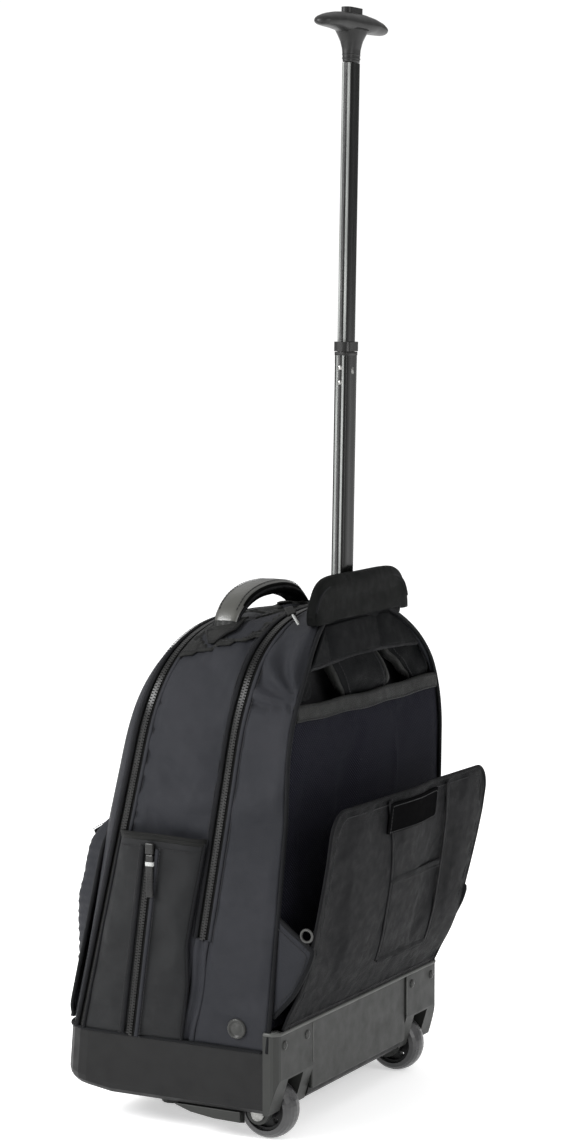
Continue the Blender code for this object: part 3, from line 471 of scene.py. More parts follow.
def smooth_line(points, count):
    """count points evenly along the line through the given ones."""
    points = np.asarray(points, float)
    steps = np.linalg.norm(np.diff(points, axis=0), axis=1)
    far = np.concatenate([[0], np.cumsum(steps)])
    at = np.linspace(0, far[-1], count)
    return np.stack([np.interp(at, far, points[:, k]) for k in range(3)], axis=1)


def headings(line):
    """Unit vectors along a line, one for each of its points."""
    ahead = np.gradient(line, axis=0)
    ahead /= np.linalg.norm(ahead, axis=1, keepdims=True)
    return ahead


def rounded(points, count, passes):
    """The same, with the corners of the given line worn round."""
    line = smooth_line(points, count)
    for _ in range(passes):
        line[1:-1] = (line[:-2] + 2 * line[1:-1] + line[2:]) / 4
    return line


def sweep(name, line, section, surface, body, sideways=None, closed=False, shapes=None):
    """A section, given as (side, up) points, carried along a line. sideways is the direction of
    the section's first axis, one for the line or one for each point."""
    line = np.asarray(line, float)
    ahead = np.gradient(line, axis=0)
    if closed:
        ahead = np.roll(line, -1, axis=0) - np.roll(line, 1, axis=0)
    ahead /= np.linalg.norm(ahead, axis=1, keepdims=True)
    side = np.broadcast_to(np.asarray(sideways if sideways is not None else (0, 0, 1), float),
                           line.shape)
    side = side - (side * ahead).sum(1, keepdims=True) * ahead
    side = side / np.maximum(np.linalg.norm(side, axis=1, keepdims=True), 1e-9)
    up = np.cross(ahead, side)
    section = np.asarray(section, float)
    rings = []
    for k in range(len(line)):
        shape = section * (shapes[k] if shapes is not None else 1.0)
        rings.append(line[k] + shape[:, :1] * side[k] + shape[:, 1:] * up[k])
    rings = np.array(rings)
    rows, columns = rings.shape[:2]
    faces = grid_faces(rows, columns, closed=True)
    if closed:
        last = (rows - 1) * columns
        faces += [(last + c, last + (c + 1) % columns, (c + 1) % columns, c)
                  for c in range(columns)]
    else:
        faces += [tuple(range(columns))[::-1], tuple((rows - 1) * columns + c
                                                     for c in range(columns))]
    around = np.concatenate([[0], np.cumsum(np.linalg.norm(np.diff(section, axis=0), axis=1))])
    far = np.concatenate([[0], np.cumsum(np.linalg.norm(np.diff(line, axis=0), axis=1))])
    flat = np.stack(np.broadcast_arrays(around[None, :], far[:, None]), axis=2).reshape(-1, 2)
    made = new_piece(name, rings, faces, surface, body, flat)
    fix_normals(made)
    return made


def fix_normals(made):
    bm = bmesh.new()
    bm.from_mesh(made.data)
    bmesh.ops.recalc_face_normals(bm, faces=bm.faces)
    bm.to_mesh(made.data)
    bm.free()


def capped(name, rings, surface, body, flat=None):
    """A shell from rings of points, closed by a face over its last ring."""
    rings = np.array(rings)
    rows, columns = rings.shape[:2]
    faces = grid_faces(rows, columns, closed=True)
    faces.append(tuple((rows - 1) * columns + c for c in range(columns)))
    made = new_piece(name, rings, faces, surface, body, flat)
    fix_normals(made)
    return made


def oval(width, height, count, square=1.0):
    """A closed oval section; square below 1 makes it boxier."""
    turns = np.arange(count) * 2 * math.pi / count
    a, b = np.cos(turns), np.sin(turns)
    return np.stack([width / 2 * np.sign(a) * np.abs(a) ** square,
                     height / 2 * np.sign(b) * np.abs(b) ** square], axis=1)


def boxes(name, placed, surface, body):
    """One mesh of many small blocks, each given as (centre, three half-edges)."""
    corners = np.array([(i, j, k) for i in (-1, 1) for j in (-1, 1) for k in (-1, 1)], float)
    sides = ((0, 1, 3, 2), (4, 6, 7, 5), (0, 4, 5, 1), (2, 3, 7, 6), (0, 2, 6, 4), (1, 5, 7, 3))
    points, faces = [], []
    for centre, edges in placed:
        base = len(points) * 8
        points.append(np.asarray(centre) + corners @ np.asarray(edges, float))
        faces += [tuple(base + v for v in side) for side in sides]
    made = new_piece(name, np.concatenate(points), faces, surface, body)
    fix_normals(made)
    made.data.shade_flat()
    return made


THREAD_WIDE, THREAD_PROUD = 0.7, 0.45


def stitches(name, line, up, surface, body, pitch=3.4, length=2.3):
    """A row of short raised threads along a line."""
    line = np.asarray(line, float)
    total = np.linalg.norm(np.diff(line, axis=0), axis=1).sum()
    points = smooth_line(line, max(3, int(total / pitch)))
    ahead = headings(points)
    if np.ndim(up) == 2:
        up = smooth_line(up, len(points))
    up = np.broadcast_to(np.asarray(up, float), points.shape)
    up = up / np.linalg.norm(up, axis=1, keepdims=True)
    side = np.cross(ahead, up)
    placed = [(p, (a * length / 2, s * THREAD_WIDE / 2, u * THREAD_PROUD / 2))
              for p, a, s, u in zip(points, ahead, side, up)]
    return boxes(name, placed, surface, body)


def ripple(points, normals, size, depth, stretch, seed, fade=None):
    """Points moved along their normals by smooth noise."""
    flat = points.reshape(-1, 3)
    move = np.array([noise.noise(Vector((p[0] * stretch[0] / size + seed,
                                         p[1] * stretch[1] / size - seed,
                                         p[2] * stretch[2] / size))) for p in flat])
    move = move.reshape(points.shape[:2])[..., None] * depth
    if fade is not None:
        move = move * fade[..., None]
    return points + normals * move


CLOTH_STIFFNESS = 8.0


def settle(made, pinned, grow, pressure, frames, cap, bend=0.6):
    """Lets Blender's cloth solver find the folds: the cloth is cut a little larger than its frame
    and held at the pinned points. No point moves further than the cap, in millimetres."""
    scene = bpy.context.scene
    group = made.vertex_groups.new(name="held")
    group.add([int(k) for k in pinned], 1.0, "REPLACE")
    sim = made.modifiers.new("cloth", "CLOTH")
    made.modifiers.move(len(made.modifiers) - 1, 0)
    settings = sim.settings
    settings.quality = 6
    settings.mass = 0.2
    settings.tension_stiffness = CLOTH_STIFFNESS
    settings.compression_stiffness = CLOTH_STIFFNESS
    settings.shear_stiffness = CLOTH_STIFFNESS / 2
    settings.bending_stiffness = bend
    settings.air_damping = 4.0
    settings.shrink_min = -grow
    settings.vertex_group_mass = "held"
    settings.use_pressure = pressure != 0.0
    settings.uniform_pressure_force = pressure
    settings.effector_weights.gravity = 0.0
    sim.collision_settings.use_collision = False
    sim.point_cache.frame_start = 1
    sim.point_cache.frame_end = frames
    others = [m for m in made.modifiers if m != sim]
    shown = [m.show_viewport for m in others]
    for modifier in others:
        modifier.show_viewport = False
    for step in range(1, frames + 1):
        scene.frame_set(step)
    graph = bpy.context.evaluated_depsgraph_get()
    result = made.evaluated_get(graph).to_mesh()
    count = len(made.data.vertices)
    before, after = np.empty(count * 3), np.empty(count * 3)
    made.data.vertices.foreach_get("co", before)
    result.vertices.foreach_get("co", after)
    made.evaluated_get(graph).to_mesh_clear()
    move = (after - before).reshape(-1, 3)
    far = np.linalg.norm(move, axis=1, keepdims=True)
    move *= np.minimum(1.0, cap * MM / np.maximum(far, 1e-9))
    made.modifiers.remove(sim)
    made.vertex_groups.remove(group)
    made.data.vertices.foreach_set("co", before + move.ravel())
    made.data.update()
    for modifier, state in zip(others, shown):
        modifier.show_viewport = state
    scene.frame_set(1)


def grid_edges(rows, columns):
    """The numbers of a grid's points on its first and last rows and columns."""
    index = np.arange(rows * columns).reshape(rows, columns)
    return np.unique(np.concatenate([index[0], index[-1], index[:, 0], index[:, -1]]))


# ---------------------------------------------------------------- the bag's arched seams

class Seam:
    """One arched seam of the bag: its half-width, the height where it starts to turn in, its top,
    how square its shoulders are, and how far back it lies at each height."""

    def __init__(self, low_width, high_width, spring, top, power, depth):
        self.low_width, self.high_width = low_width, high_width
        self.spring, self.top, self.power = spring, top, power
        self.depth = depth

    def line(self, bottom, count=220, inset=0.0):
        """Even points from the foot on the left, over the top, to the foot on the right."""
        half = []
        for z in np.linspace(bottom, self.spring, 40):
            share = (z - TUB_TOP) / (self.spring - TUB_TOP)
            half.append((self.low_width + (self.high_width - self.low_width) * share - inset, z))
        rise = self.top - self.spring - inset
        for angle in np.radians(np.linspace(0, 90, 90))[1:]:
            half.append(((self.high_width - inset) * math.cos(angle) ** (2 / self.power),
                         self.spring + rise * math.sin(angle) ** (2 / self.power)))
        half[-1] = (0.0, half[-1][1])
        whole = half + [(-x, z) for x, z in half[-2::-1]]
        return smooth_line([(x, self.depth(z), z) for x, z in whole], count)

    def half_width(self, z):
        if z <= self.spring:
            share = (z - TUB_TOP) / (self.spring - TUB_TOP)
            return self.low_width + (self.high_width - self.low_width) * share
        up = min(1.0, (z - self.spring) / (self.top - self.spring))
        return self.high_width * (1 - up ** self.power) ** (1 / self.power)


def front_depth(z):
    return -95.0 + 0.227 * (z - 94.0)


def middle_depth(z):
    return 36.0 + 0.166 * (min(z, 400.0) - 184.0) + 0.10 * max(0.0, z - 400.0)


def back_depth(z):
    return 103.0 + 0.075 * (z - 108.0) - 0.0036 * max(0.0, z - 400.0) ** 2


FRONT = Seam(162.0, 159.0, 340.0, 456.0, 2.8, front_depth)
MIDDLE = Seam(163.5, 160.0, 340.0, 468.0, 2.8, middle_depth)
BACK = Seam(165.0, 157.0, 330.0, 474.0, 2.0, back_depth)
FOOT = TUB_TOP + 0.3
ZIP_HALF = 7.0  # from a zip's middle to the welt on each side of it


def pole_point(x, y, z):
    """A point in the leaning pole's own frame, whose z runs along the tubes."""
    turn = Matrix.Rotation(-POLE_LEAN, 3, "X")
    return Vector((0, POLE_FOOT_Y, 0)) + turn @ Vector((x, y, z))


def across_from(line, other):
    """Unit vectors across a seam, towards another seam, and the outward normals beside them."""
    ahead = headings(line)
    side = other - line
    side -= (side * ahead).sum(1, keepdims=True) * ahead
    side /= np.linalg.norm(side, axis=1, keepdims=True)
    out = np.cross(ahead, side)
    middle = np.array((0.0, 40.0, 240.0))
    if (out * (line - middle)).sum() < 0:
        out = -out
    return side, out


SEAM_POINTS = 240


def lean(z):
    """How far the loaded bag's back slumps to its left at each height."""
    return 0.11 * np.maximum(0.0, np.minimum(z, 460.0) - 290.0)


def back_span(z, margin):
    """The back's right and left edges at a height, this far inside its seam."""
    half = BACK.half_width(z) - margin
    return -half + lean(z), half + lean(z)


FRONT_LINE = FRONT.line(FOOT, SEAM_POINTS)
MIDDLE_LINE = MIDDLE.line(FOOT, SEAM_POINTS)
BACK_LINE = BACK.line(FOOT, SEAM_POINTS)
BACK_LINE[:, 0] += lean(BACK_LINE[:, 2])


def gusset_grid(one, two, start, stop, columns):
    """Rows of points from one seam to the other, start and stop millimetres short of them."""
    width = np.linalg.norm(two - one, axis=1, keepdims=True)
    rows = []
    for share in np.linspace(0, 1, columns):
        t = start / width + (1 - (start + stop) / width) * share
        rows.append(one + (two - one) * t)
    return np.stack(rows, axis=1)


def edge_fade(count, reach):
    """0 at both ends of a row of points and 1 from reach points in."""
    far = np.minimum(np.arange(count), np.arange(count)[::-1])
    return np.clip(far / reach, 0, 1)


def gusset_walls():
    """The two bands of nylon over the sides and the top, with the folds that use gives them."""
    inside = (0.0, 30.0, 230.0)
    main = gusset_grid(FRONT_LINE, MIDDLE_LINE, 2 * ZIP_HALF, ZIP_HALF, 26)
    normals = outward(main, inside)
    fade = np.outer(edge_fade(SEAM_POINTS, 8), edge_fade(26, 4))
    fade = fade * np.clip((main[..., 2] - 262.0) / 30.0, 0.1, 1.0)
    main = main + normals * (2.2 * fade)[..., None]
    main = ripple(main, normals, 60.0, 2.4, (1.0, 1.0, 1.6), 3.1, fade)
    main = ripple(main, normals, 26.0, 1.9, (1.0, 0.55, 1.5), 7.7, fade)
    main = sagged(main)
    wall = cloth("gusset_cloth", main, NYLON, "bag", inside, 3.0)
    under = np.flatnonzero(main[..., 2].ravel() < 272.0)
    settle(wall, np.union1d(grid_edges(SEAM_POINTS, 26), under), 0.014, 1.2, 16, 4.0)
    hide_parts("main_gusset")
    top_cloth(wall, main)
    handle_anchors(wall)

    rear = gusset_grid(MIDDLE_LINE, BACK_LINE, ZIP_HALF, 1.0, 20)
    normals = outward(rear, inside)
    fade = np.outer(edge_fade(SEAM_POINTS, 8), edge_fade(20, 3))
    rear = rear + normals * (1.8 * fade)[..., None]
    rear = ripple(rear, normals, 45.0, 2.8, (1.0, 0.8, 1.6), 11.3, fade)
    rear = ripple(rear, normals, 22.0, 1.5, (1.0, 0.5, 1.5), 5.1, fade)
    rear = gathers(rear, normals, fade)
    wall = cloth("rear_gusset_cloth", rear, NYLON, "bag", inside, 3.0)
    cut_mouth(wall)
    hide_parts("laptop_gusset")


def outward(points, inside):
    normals = grid_normals(points)
    if (normals * (points - np.asarray(inside))).sum() < 0:
        normals = -normals
    return normals


def gathers(points, normals, fade):
    """Folds that run together where the strap pocket's band pulls on each side seam."""
    move = np.zeros(points.shape[:2])
    for sign in (1, -1):
        knot = np.array((sign * 134.0, 124.0, 396.0))
        away = points - knot
        reach = np.linalg.norm(away, axis=2)
        angle = np.arctan2(away[..., 2], -away[..., 1])
        waves = np.sin(angle * 11.0 + 0.6 * np.sin(reach / 14.0))
        near = np.exp(-((reach - 36.0) / 30.0) ** 2) * (away[..., 2] > -6.0)
        near = near * (points[..., 0] * sign > 20.0)
        move += 3.4 * waves * near
    return points + normals * (move * np.sqrt(fade))[..., None]


def sagged(points):
    """The loose cloth under the grab handle hangs in a shallow dip between the two zips."""
    across = np.linspace(0, 1, points.shape[1])[None, :]
    beside = np.exp(-((points[..., 0] - 22.0) / 44.0) ** 2) * (points[..., 2] > 430.0)
    points[..., 2] -= 9.0 * np.sin(np.pi * across) ** 0.8 * beside
    return points


def cut_mouth(wall):
    """Takes out the faces round the well that the pole rises from."""
    bm = bmesh.new()
    bm.from_mesh(wall.data)
    centre = pole_point(0, 2.6, 465.0)
    gone = []
    for face in bm.faces:
        middle = face.calc_center_median() / MM
        x, y = middle.x, middle.y - DEPTH_SHIFT - centre.y
        if (abs(x) / 36.0) ** 4 + (abs(y) / 10.7) ** 4 < 1.0 and middle.z > 430:
            gone.append(face)
    bmesh.ops.delete(bm, geom=gone, context="FACES")
    bm.to_mesh(wall.data)
    bm.free()


# ---------------------------------------------------------------- zips, welts and piping

def zip_band(name, line, side, out, bodies, slider_node=None):
    """A closed zip: two tapes, the interlocked teeth, and a folded welt along each tape."""
    front_body, rear_body = bodies
    for place, sign, body in (("front", -1, front_body), ("rear", 1, rear_body)):
        across = np.array((0.5, 3.5, ZIP_HALF)) * sign
        drop = np.array((-0.2, -0.5, -1.0))
        rows = np.stack([line + side * a + out * d for a, d in zip(across, drop)], axis=1)
        tape = cloth(f"{name}_tape_{place}", rows, ZIP_TAPE, body, (0, 30, 230), 0.8)
        count = int(np.linalg.norm(np.diff(line, axis=0), axis=1).sum() / 2.6)
        centres = smooth_line(line, count * 2)
        placed = []
        ahead = headings(centres)
        share = np.linspace(0, 1, len(centres))
        own = np.linspace(0, 1, len(line))
        sides = np.stack([np.interp(share, own, side[:, k]) for k in range(3)], axis=1)
        outs = np.stack([np.interp(share, own, out[:, k]) for k in range(3)], axis=1)
        chosen = slice(0 if sign < 0 else 1, None, 2)
        for p, a, s, o in zip(centres[chosen], ahead[chosen], sides[chosen], outs[chosen]):
            placed.append((p + s * sign * 1.0 + o * 0.5, (a * 0.85, s * 1.7, o * 0.7)))
        teeth = boxes(f"{name}_teeth_{place}", placed, ZIP_BLACK, body)
        if place == "front" and slider_node:
            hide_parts(slider_node)
        welt = sweep(f"{name}_welt_{place}", line + side * sign * (ZIP_HALF + 0.3) + out * 0.5,
                     oval(4.2, 2.8, 10), NYLON if sign > 0 else PIPING, body, side)
        seam = stitches(f"{name}_stitches_{place}",
                        line + side * sign * (ZIP_HALF + 3.4) + out * 1.2, out, THREAD, body)


def zips():
    side, out = across_from(FRONT_LINE, MIDDLE_LINE)
    zip_band("main_zip", FRONT_LINE + side * ZIP_HALF, side, out, ("front_door", "bag"),
             "main_zip")
    side, out = across_from(MIDDLE_LINE, BACK_LINE)
    upper = MIDDLE_LINE[:, 2] > 178.0
    zip_band("laptop_zip", MIDDLE_LINE[upper], side[upper], out[upper], ("bag", "bag"),
             "laptop_zip")
    for place, sign in SIDES:
        lower = (MIDDLE_LINE[:, 2] < 184.0) & (MIDDLE_LINE[:, 0] * sign > 0)
        line, s, o = MIDDLE_LINE[lower], side[lower], out[lower]
        wander = 2.0 * np.sin(line[:, 2:] / 17.0) * edge_fade(len(line), 4)[:, None]
        seam = gusset_grid(line - s * ZIP_HALF, line + s * ZIP_HALF, 0.0, 0.0, 9)
        dip = np.exp(-((np.arange(9) - 4) / 1.1) ** 2)[None, :, None]
        seam = seam + o[:, None, :] * (0.6 - 2.4 * dip) + s[:, None, :] * wander[:, None, :]
        closed = cloth(f"side_seam_{place}", seam, NYLON, "bag", (0, 30, 230), 1.6)
    line = BACK_LINE
    side, out = across_from(BACK_LINE, MIDDLE_LINE)
    cord = sweep("back_piping", line - side * 0.6 + out * 0.4, oval(4.0, 4.0, 8), PIPING, "bag",
                 side)


# ---------------------------------------------------------------- carried-over CAD nodes

def dress(surface, *names):
    """Gives CAD nodes, which keep their shape, a finished material."""
    for name in names:
        for place in NODES[name].material_slots:
            place.material = surface


def both(*names):
    return [f"{name}_{side}" for name in names for side, _ in SIDES]


def dress_frame():
    dress(BOOT, "bottom_tub")
    dress(PLATE, "kick_plate", "handle_base_bracket", *both("wheel_housing", "skid_rail",
                                                            "front_foot"))
    dress(STEEL, "release_rod", "lock_pin", *both("axle_bolt", "bearing_inner", "bearing_outer"))
    dress(DULL_METAL, *both("strap_ring"))
    dress(TYRE, *both("tyre"))
    dress(HUB, *both("wheel_hub"))
    dress(GRIP, "handle_bezel", "lower_tube_guide", "upper_lock_block", "release_button",
          "grip_neck")
    dress(ZIP_BLACK, "pocket_slider", "pocket_pull", "laptop_slider", "lower_tube_collar")
    dress(BOARD, "back_board", "base_board")
    dress(BLACK_TUBE, "handle_housing_tube")
    dress(LINING, "laptop_divider")


# ---------------------------------------------------------------- back: mesh pocket, yoke, straps

BACK_INSIDE = (0.0, -300.0, 250.0)
EDGE_Z = 386.0  # the middle of the strap pocket's bound edge
EDGE_HEIGHT = 15.0


def back_point(x, z, proud=0.0):
    """A point on the bag's back, which swells a little in its middle."""
    half = BACK.half_width(min(z, 460.0)) - 4.0
    low, high = 106.0, 396.0
    share = min(1.0, abs(x - lean(z)) / half)
    swell = 4.0 * (1 - share * share) * math.sin(math.pi * min(1.0, (z - low) / (high - low)))
    return (x, back_depth(z) - 1.0 + swell + proud, z)


def strap_pocket():
    heights = np.linspace(106.0, EDGE_Z, 70)
    grid = np.array([[back_point(x, z) for x in np.linspace(*back_span(z, 3.0), 60)]
                     for z in heights])
    normals = outward(grid, BACK_INSIDE)
    fade = np.outer(edge_fade(70, 5), edge_fade(60, 5))
    grid = ripple(grid, normals, 85.0, 2.6, (1.0, 1.0, 0.7), 5.2, fade)
    crease = (np.exp(-((grid[..., 0] + 46.0) / 3.2) ** 2)
              * np.exp(-((grid[..., 2] - 318.0) / 24.0) ** 2))
    grid = grid + normals * (1.8 * crease)[..., None]
    made = cloth("mesh_pocket", grid, AIR_MESH, "bag", BACK_INSIDE, 3.2)
    settle(made, grid_edges(70, 60), 0.006, 1.0, 12, 3.0)
    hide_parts("strap_pocket")
    line = []
    right, left = back_span(EDGE_Z, 2.0)
    half = (left - right) / 2
    for x in np.linspace(left, right, 90):
        lift = 1.6 * math.exp(-((x - 6.0) / 40.0) ** 2) + 1.2 * math.exp(-((x + 110) / 22.0) ** 2)
        dip = 1.5 * math.sin(math.pi * (x / half + 1) / 2) + 0.6 * math.sin(x / 13.0)
        line.append(back_point(x, EDGE_Z - dip, 0.8 + lift))
    line = np.array(line)
    edge = sweep("mesh_pocket_edge", line, oval(EDGE_HEIGHT, 4.6, 16, 0.45), BINDING, "bag",
                 (0, 0, 1))
    for place, rise in (("low", -EDGE_HEIGHT / 2 + 1.8), ("high", EDGE_HEIGHT / 2 - 2.2)):
        row = stitches(f"mesh_pocket_stitches_{place}", line + np.array((0, 2.3, rise)), (0, 1, 0),
                       THREAD, "bag")


def quilted(x, seams, depth):
    """How far a padded panel stands up between its sewn lines."""
    for a, b in zip(seams, seams[1:]):
        if a <= x <= b:
            share = 2 * (x - a) / (b - a) - 1
            return depth * (1 - abs(share) ** 5.0)
    return 0.0


def yoke():
    rows, columns = 26, 80
    seams = (-130.0, -20.0, 82.0, 140.0)
    grid = []
    for z in np.linspace(424.0, 456.0, rows):
        low_edge = min(1.0, (z - 424.0) / 4.0)
        row = []
        for x in np.linspace(*back_span(z + 5.0, 4.0), columns):
            puff = quilted(x, seams, 3.0) * low_edge ** 0.5
            row.append(back_point(x, z + 3.0 * math.cos(x / 60.0), puff - 1.2))
        grid.append(row)
    grid = np.array(grid)
    normals = outward(grid, BACK_INSIDE)
    grid = ripple(grid, normals, 34.0, 1.2, (1.0, 1.0, 1.6), 2.0, np.outer(np.ones(rows),
                                                                          edge_fade(columns, 4)))
    made = cloth("yoke", grid, YOKE_CLOTH, "bag", BACK_INSIDE, 4.0)
    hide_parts("yoke_panel")
    hem = sweep("yoke_hem", grid[0] + np.array((0, -1.0, 0.4)), oval(4.6, 5.0, 10), PIPING, "bag",
                (0, 0, 1))


def recess_corner():
    """The gusset's slack, pleated and drawn into the recess beside the left strap."""
    knot = np.array((146.0, 122.4, 393.0))
    rim, inner = [], []
    for z in np.linspace(396.0, 440.0, 26):
        left = back_span(z, 1.0)[1]
        rim.append((left, back_depth(z) + 0.4, z))
        inner.append((110.0 + 2.0 * math.sin(z / 5.0), 115.0 + 0.10 * (z - 394.0), z))
    grid = np.array(rim)[:, None, :] + (np.array(inner) - np.array(rim))[:, None, :] * \
        np.linspace(0, 1, 20)[None, :, None]
    away = grid - knot
    angle = np.arctan2(away[..., 2], -away[..., 0])
    normals = outward(grid, BACK_INSIDE)
    pleat = np.sin(angle * 13.0) * np.clip(np.linalg.norm(away, axis=2) / 14.0, 0.0, 1.0)
    grid = grid + normals * (1.5 * pleat * edge_fade(20, 3)[None, :])[..., None]
    made = cloth("recess_corner", grid, YOKE_CLOTH, "bag", BACK_INSIDE, 1.6)


STRAP_ROWS = {  # height, then each edge's (x, y)
    "left": ((428, 80, 118, -8, 119), (416, 76, 121, -10, 127), (404, 67, 122, -15, 131),
             (397, 58, 120, -22, 127), (391, 51, 117, -27, 120), (376, 48, 112, -28, 114),
             (330, 48, 107, -28, 107), (262, 48, 104, -28, 104)),
    "right": ((432, -28, 118, -108, 116), (416, -49, 121, -115, 118), (404, -68, 121, -121, 119),
              (397, -80, 120, -125, 118), (391, -89, 117, -127, 116), (376, -90, 112, -128, 112),
              (330, -88, 107, -128, 107), (262, -88, 104, -128, 104)),
}


def shoulder_strap(side):
    """A padded strap, crumpled where it comes out of the yoke and into the pocket."""
    rows = STRAP_ROWS[side]
    count, columns = 60, 18
    one = rounded([(x, y, z) for z, x, y, _, _ in rows], count, 6)
    two = rounded([(x, y, z) for z, _, _, x, y in rows], count, 6)
    shares = np.linspace(0, 1, columns)
    grid = one[:, None, :] + (two - one)[:, None, :] * shares[None, :, None]
    normals = outward(grid, BACK_INSIDE)
    shown = np.clip((grid[..., 2] - 380.0) / 12.0, 0.0, 1.0)
    crown = np.sin(np.pi * shares)[None, :] ** 0.6 * (1.2 + 2.2 * shown)
    grid = grid + normals * crown[..., None]
    grid = ripple(grid, normals, 26.0, 3.4, (0.8, 1.0, 1.6), 4.0 if side == "left" else 9.0, shown)
    made = cloth(f"strap_{side}", grid, YOKE_CLOTH, "bag", BACK_INSIDE, 6.5)
    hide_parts(f"shoulder_strap_{side}")
    for place, k in (("one", 0), ("two", -1)):
        line = grid[:, k] - normals[:, k] * 3.2
        bead = sweep(f"strap_{side}_binding_{place}", line, oval(6.0, 8.4, 12, 0.7), BINDING, "bag",
                     two - one)
        fade = np.linspace(0.12, 0.88, 2)[0 if place == "one" else 1]
        inner = grid[:24, 0] + (grid[:24, -1] - grid[:24, 0]) * fade
        row = stitches(f"strap_{side}_stitches_{place}", inner + normals[:24, 5] * 3.2,
                       normals[:24, 5], THREAD, "bag")


WING_LOW = ((105.5, 118.0), (126.0, 140.0), (141.0, 168.0), (144.0, 178.0))
WING_HIGH = ((110.0, 207.0), (124.0, 196.0), (137.0, 187.0), (144.0, 181.0))


def wings():
    """The three-cornered tabs that hold the straps' lower ends, with their webbing loops."""
    for side, sign in SIDES:
        low = rounded([(0, y, z) for y, z in WING_LOW], 20, 2)
        high = rounded([(0, y, z) for y, z in WING_HIGH], 20, 2)
        shares = np.linspace(0, 1, 22)
        grid = low[:, None, :] + (high - low)[:, None, :] * shares[None, :, None]
        puff = 1.1 * np.sin(np.pi * shares)[None, :] * np.sin(np.linspace(0.3, 2.9, 20))[:, None]
        grid[..., 0] = sign * (161.8 + puff)
        wing = cloth(f"wing_{side}", grid, NYLON, "bag", (0, 120, 160), 3.4)
        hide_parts(f"strap_wing_{side}")
        edge = np.concatenate([low, high[::-1]])
        edge[:, 0] = sign * 160.4
        bound = sweep(f"wing_binding_{side}", edge, oval(4.2, 4.6, 10), PIPING, "bag", (1, 0, 0))
        middle = np.array((sign * 163.6, 122.0, 164.0))
        inner = middle + (edge - middle) * 0.78
        inner[:, 0] = sign * 163.1
        row = stitches(f"wing_stitches_{side}", inner, (sign, 0, 0), THREAD, "bag")
        loop = [(sign * 161.2, y, z) for y, z in ((133, 178), (137, 184), (139.4, 189.4),
                                                  (141, 188.6), (140.4, 183), (136, 176))]
        tab = sweep(f"wing_loop_{side}", rounded(loop, 30, 4), oval(2.4, 1.2, 8), WEBBING, "bag",
                    (1, 0, 0))


# ---------------------------------------------------------------- hood

HOOD_LEFT, HOOD_RIGHT, HOOD_MIDDLE_Y = 104.0, -88.0, 111.8
HOOD_LIP_Z = 460.8  # where its rear face comes down over the rim to the yoke
HOOD_FOOT_Z, HOOD_TALL = 459.0, 42.6
RIM_HALF = 152.0  # half the width of the ellipse that the back's rim follows under the hood


def hood_edge(share):
    """(x, lowest z, highest z) of the hood at a share of its width from left to right."""
    x = (HOOD_LEFT + HOOD_RIGHT) / 2 + (HOOD_LEFT - HOOD_RIGHT) / 2 * math.cos(math.pi * share)
    u = abs(math.cos(math.pi * share))
    rim = BACK.spring + (BACK.top - BACK.spring) * math.sqrt(1 - (min(abs(x), 150) / RIM_HALF) ** 2)
    low = max(rim + 1.8, HOOD_FOOT_Z)
    high = HOOD_FOOT_Z + HOOD_TALL * (1 - u ** 7.0) ** (1 / 2.2)
    return x, low, max(high, low + 3.0)


def hood_section(x, low, high, fat, count):
    """The hood's outline across: two crowned faces, and a lip over the rim at the rear."""
    rear, front = HOOD_MIDDLE_Y + fat + 0.8, HOOD_MIDDLE_Y - fat
    lip, tall = min(low, HOOD_LIP_Z), high - low
    outline = [(rear + 0.5, lip), (rear + 0.5, (lip + low) / 2), (rear + 0.2, low + 0.3 * tall),
               (rear - 0.4, low + 0.78 * tall), (HOOD_MIDDLE_Y + 0.55 * fat, high - 0.5),
               (HOOD_MIDDLE_Y, high), (HOOD_MIDDLE_Y - 0.6 * fat, high - 0.9),
               (front, low + 0.7 * tall), (front, low + 0.25 * tall), (front + 0.3 * fat, low),
               (rear - 2.4, low + 0.2), (rear - 1.6, (lip + low) / 2), (rear - 1.3, lip),
               (rear + 0.5, lip)]
    line = smooth_line([(x, y, z) for y, z in outline], count + 1)
    return line[:-1]


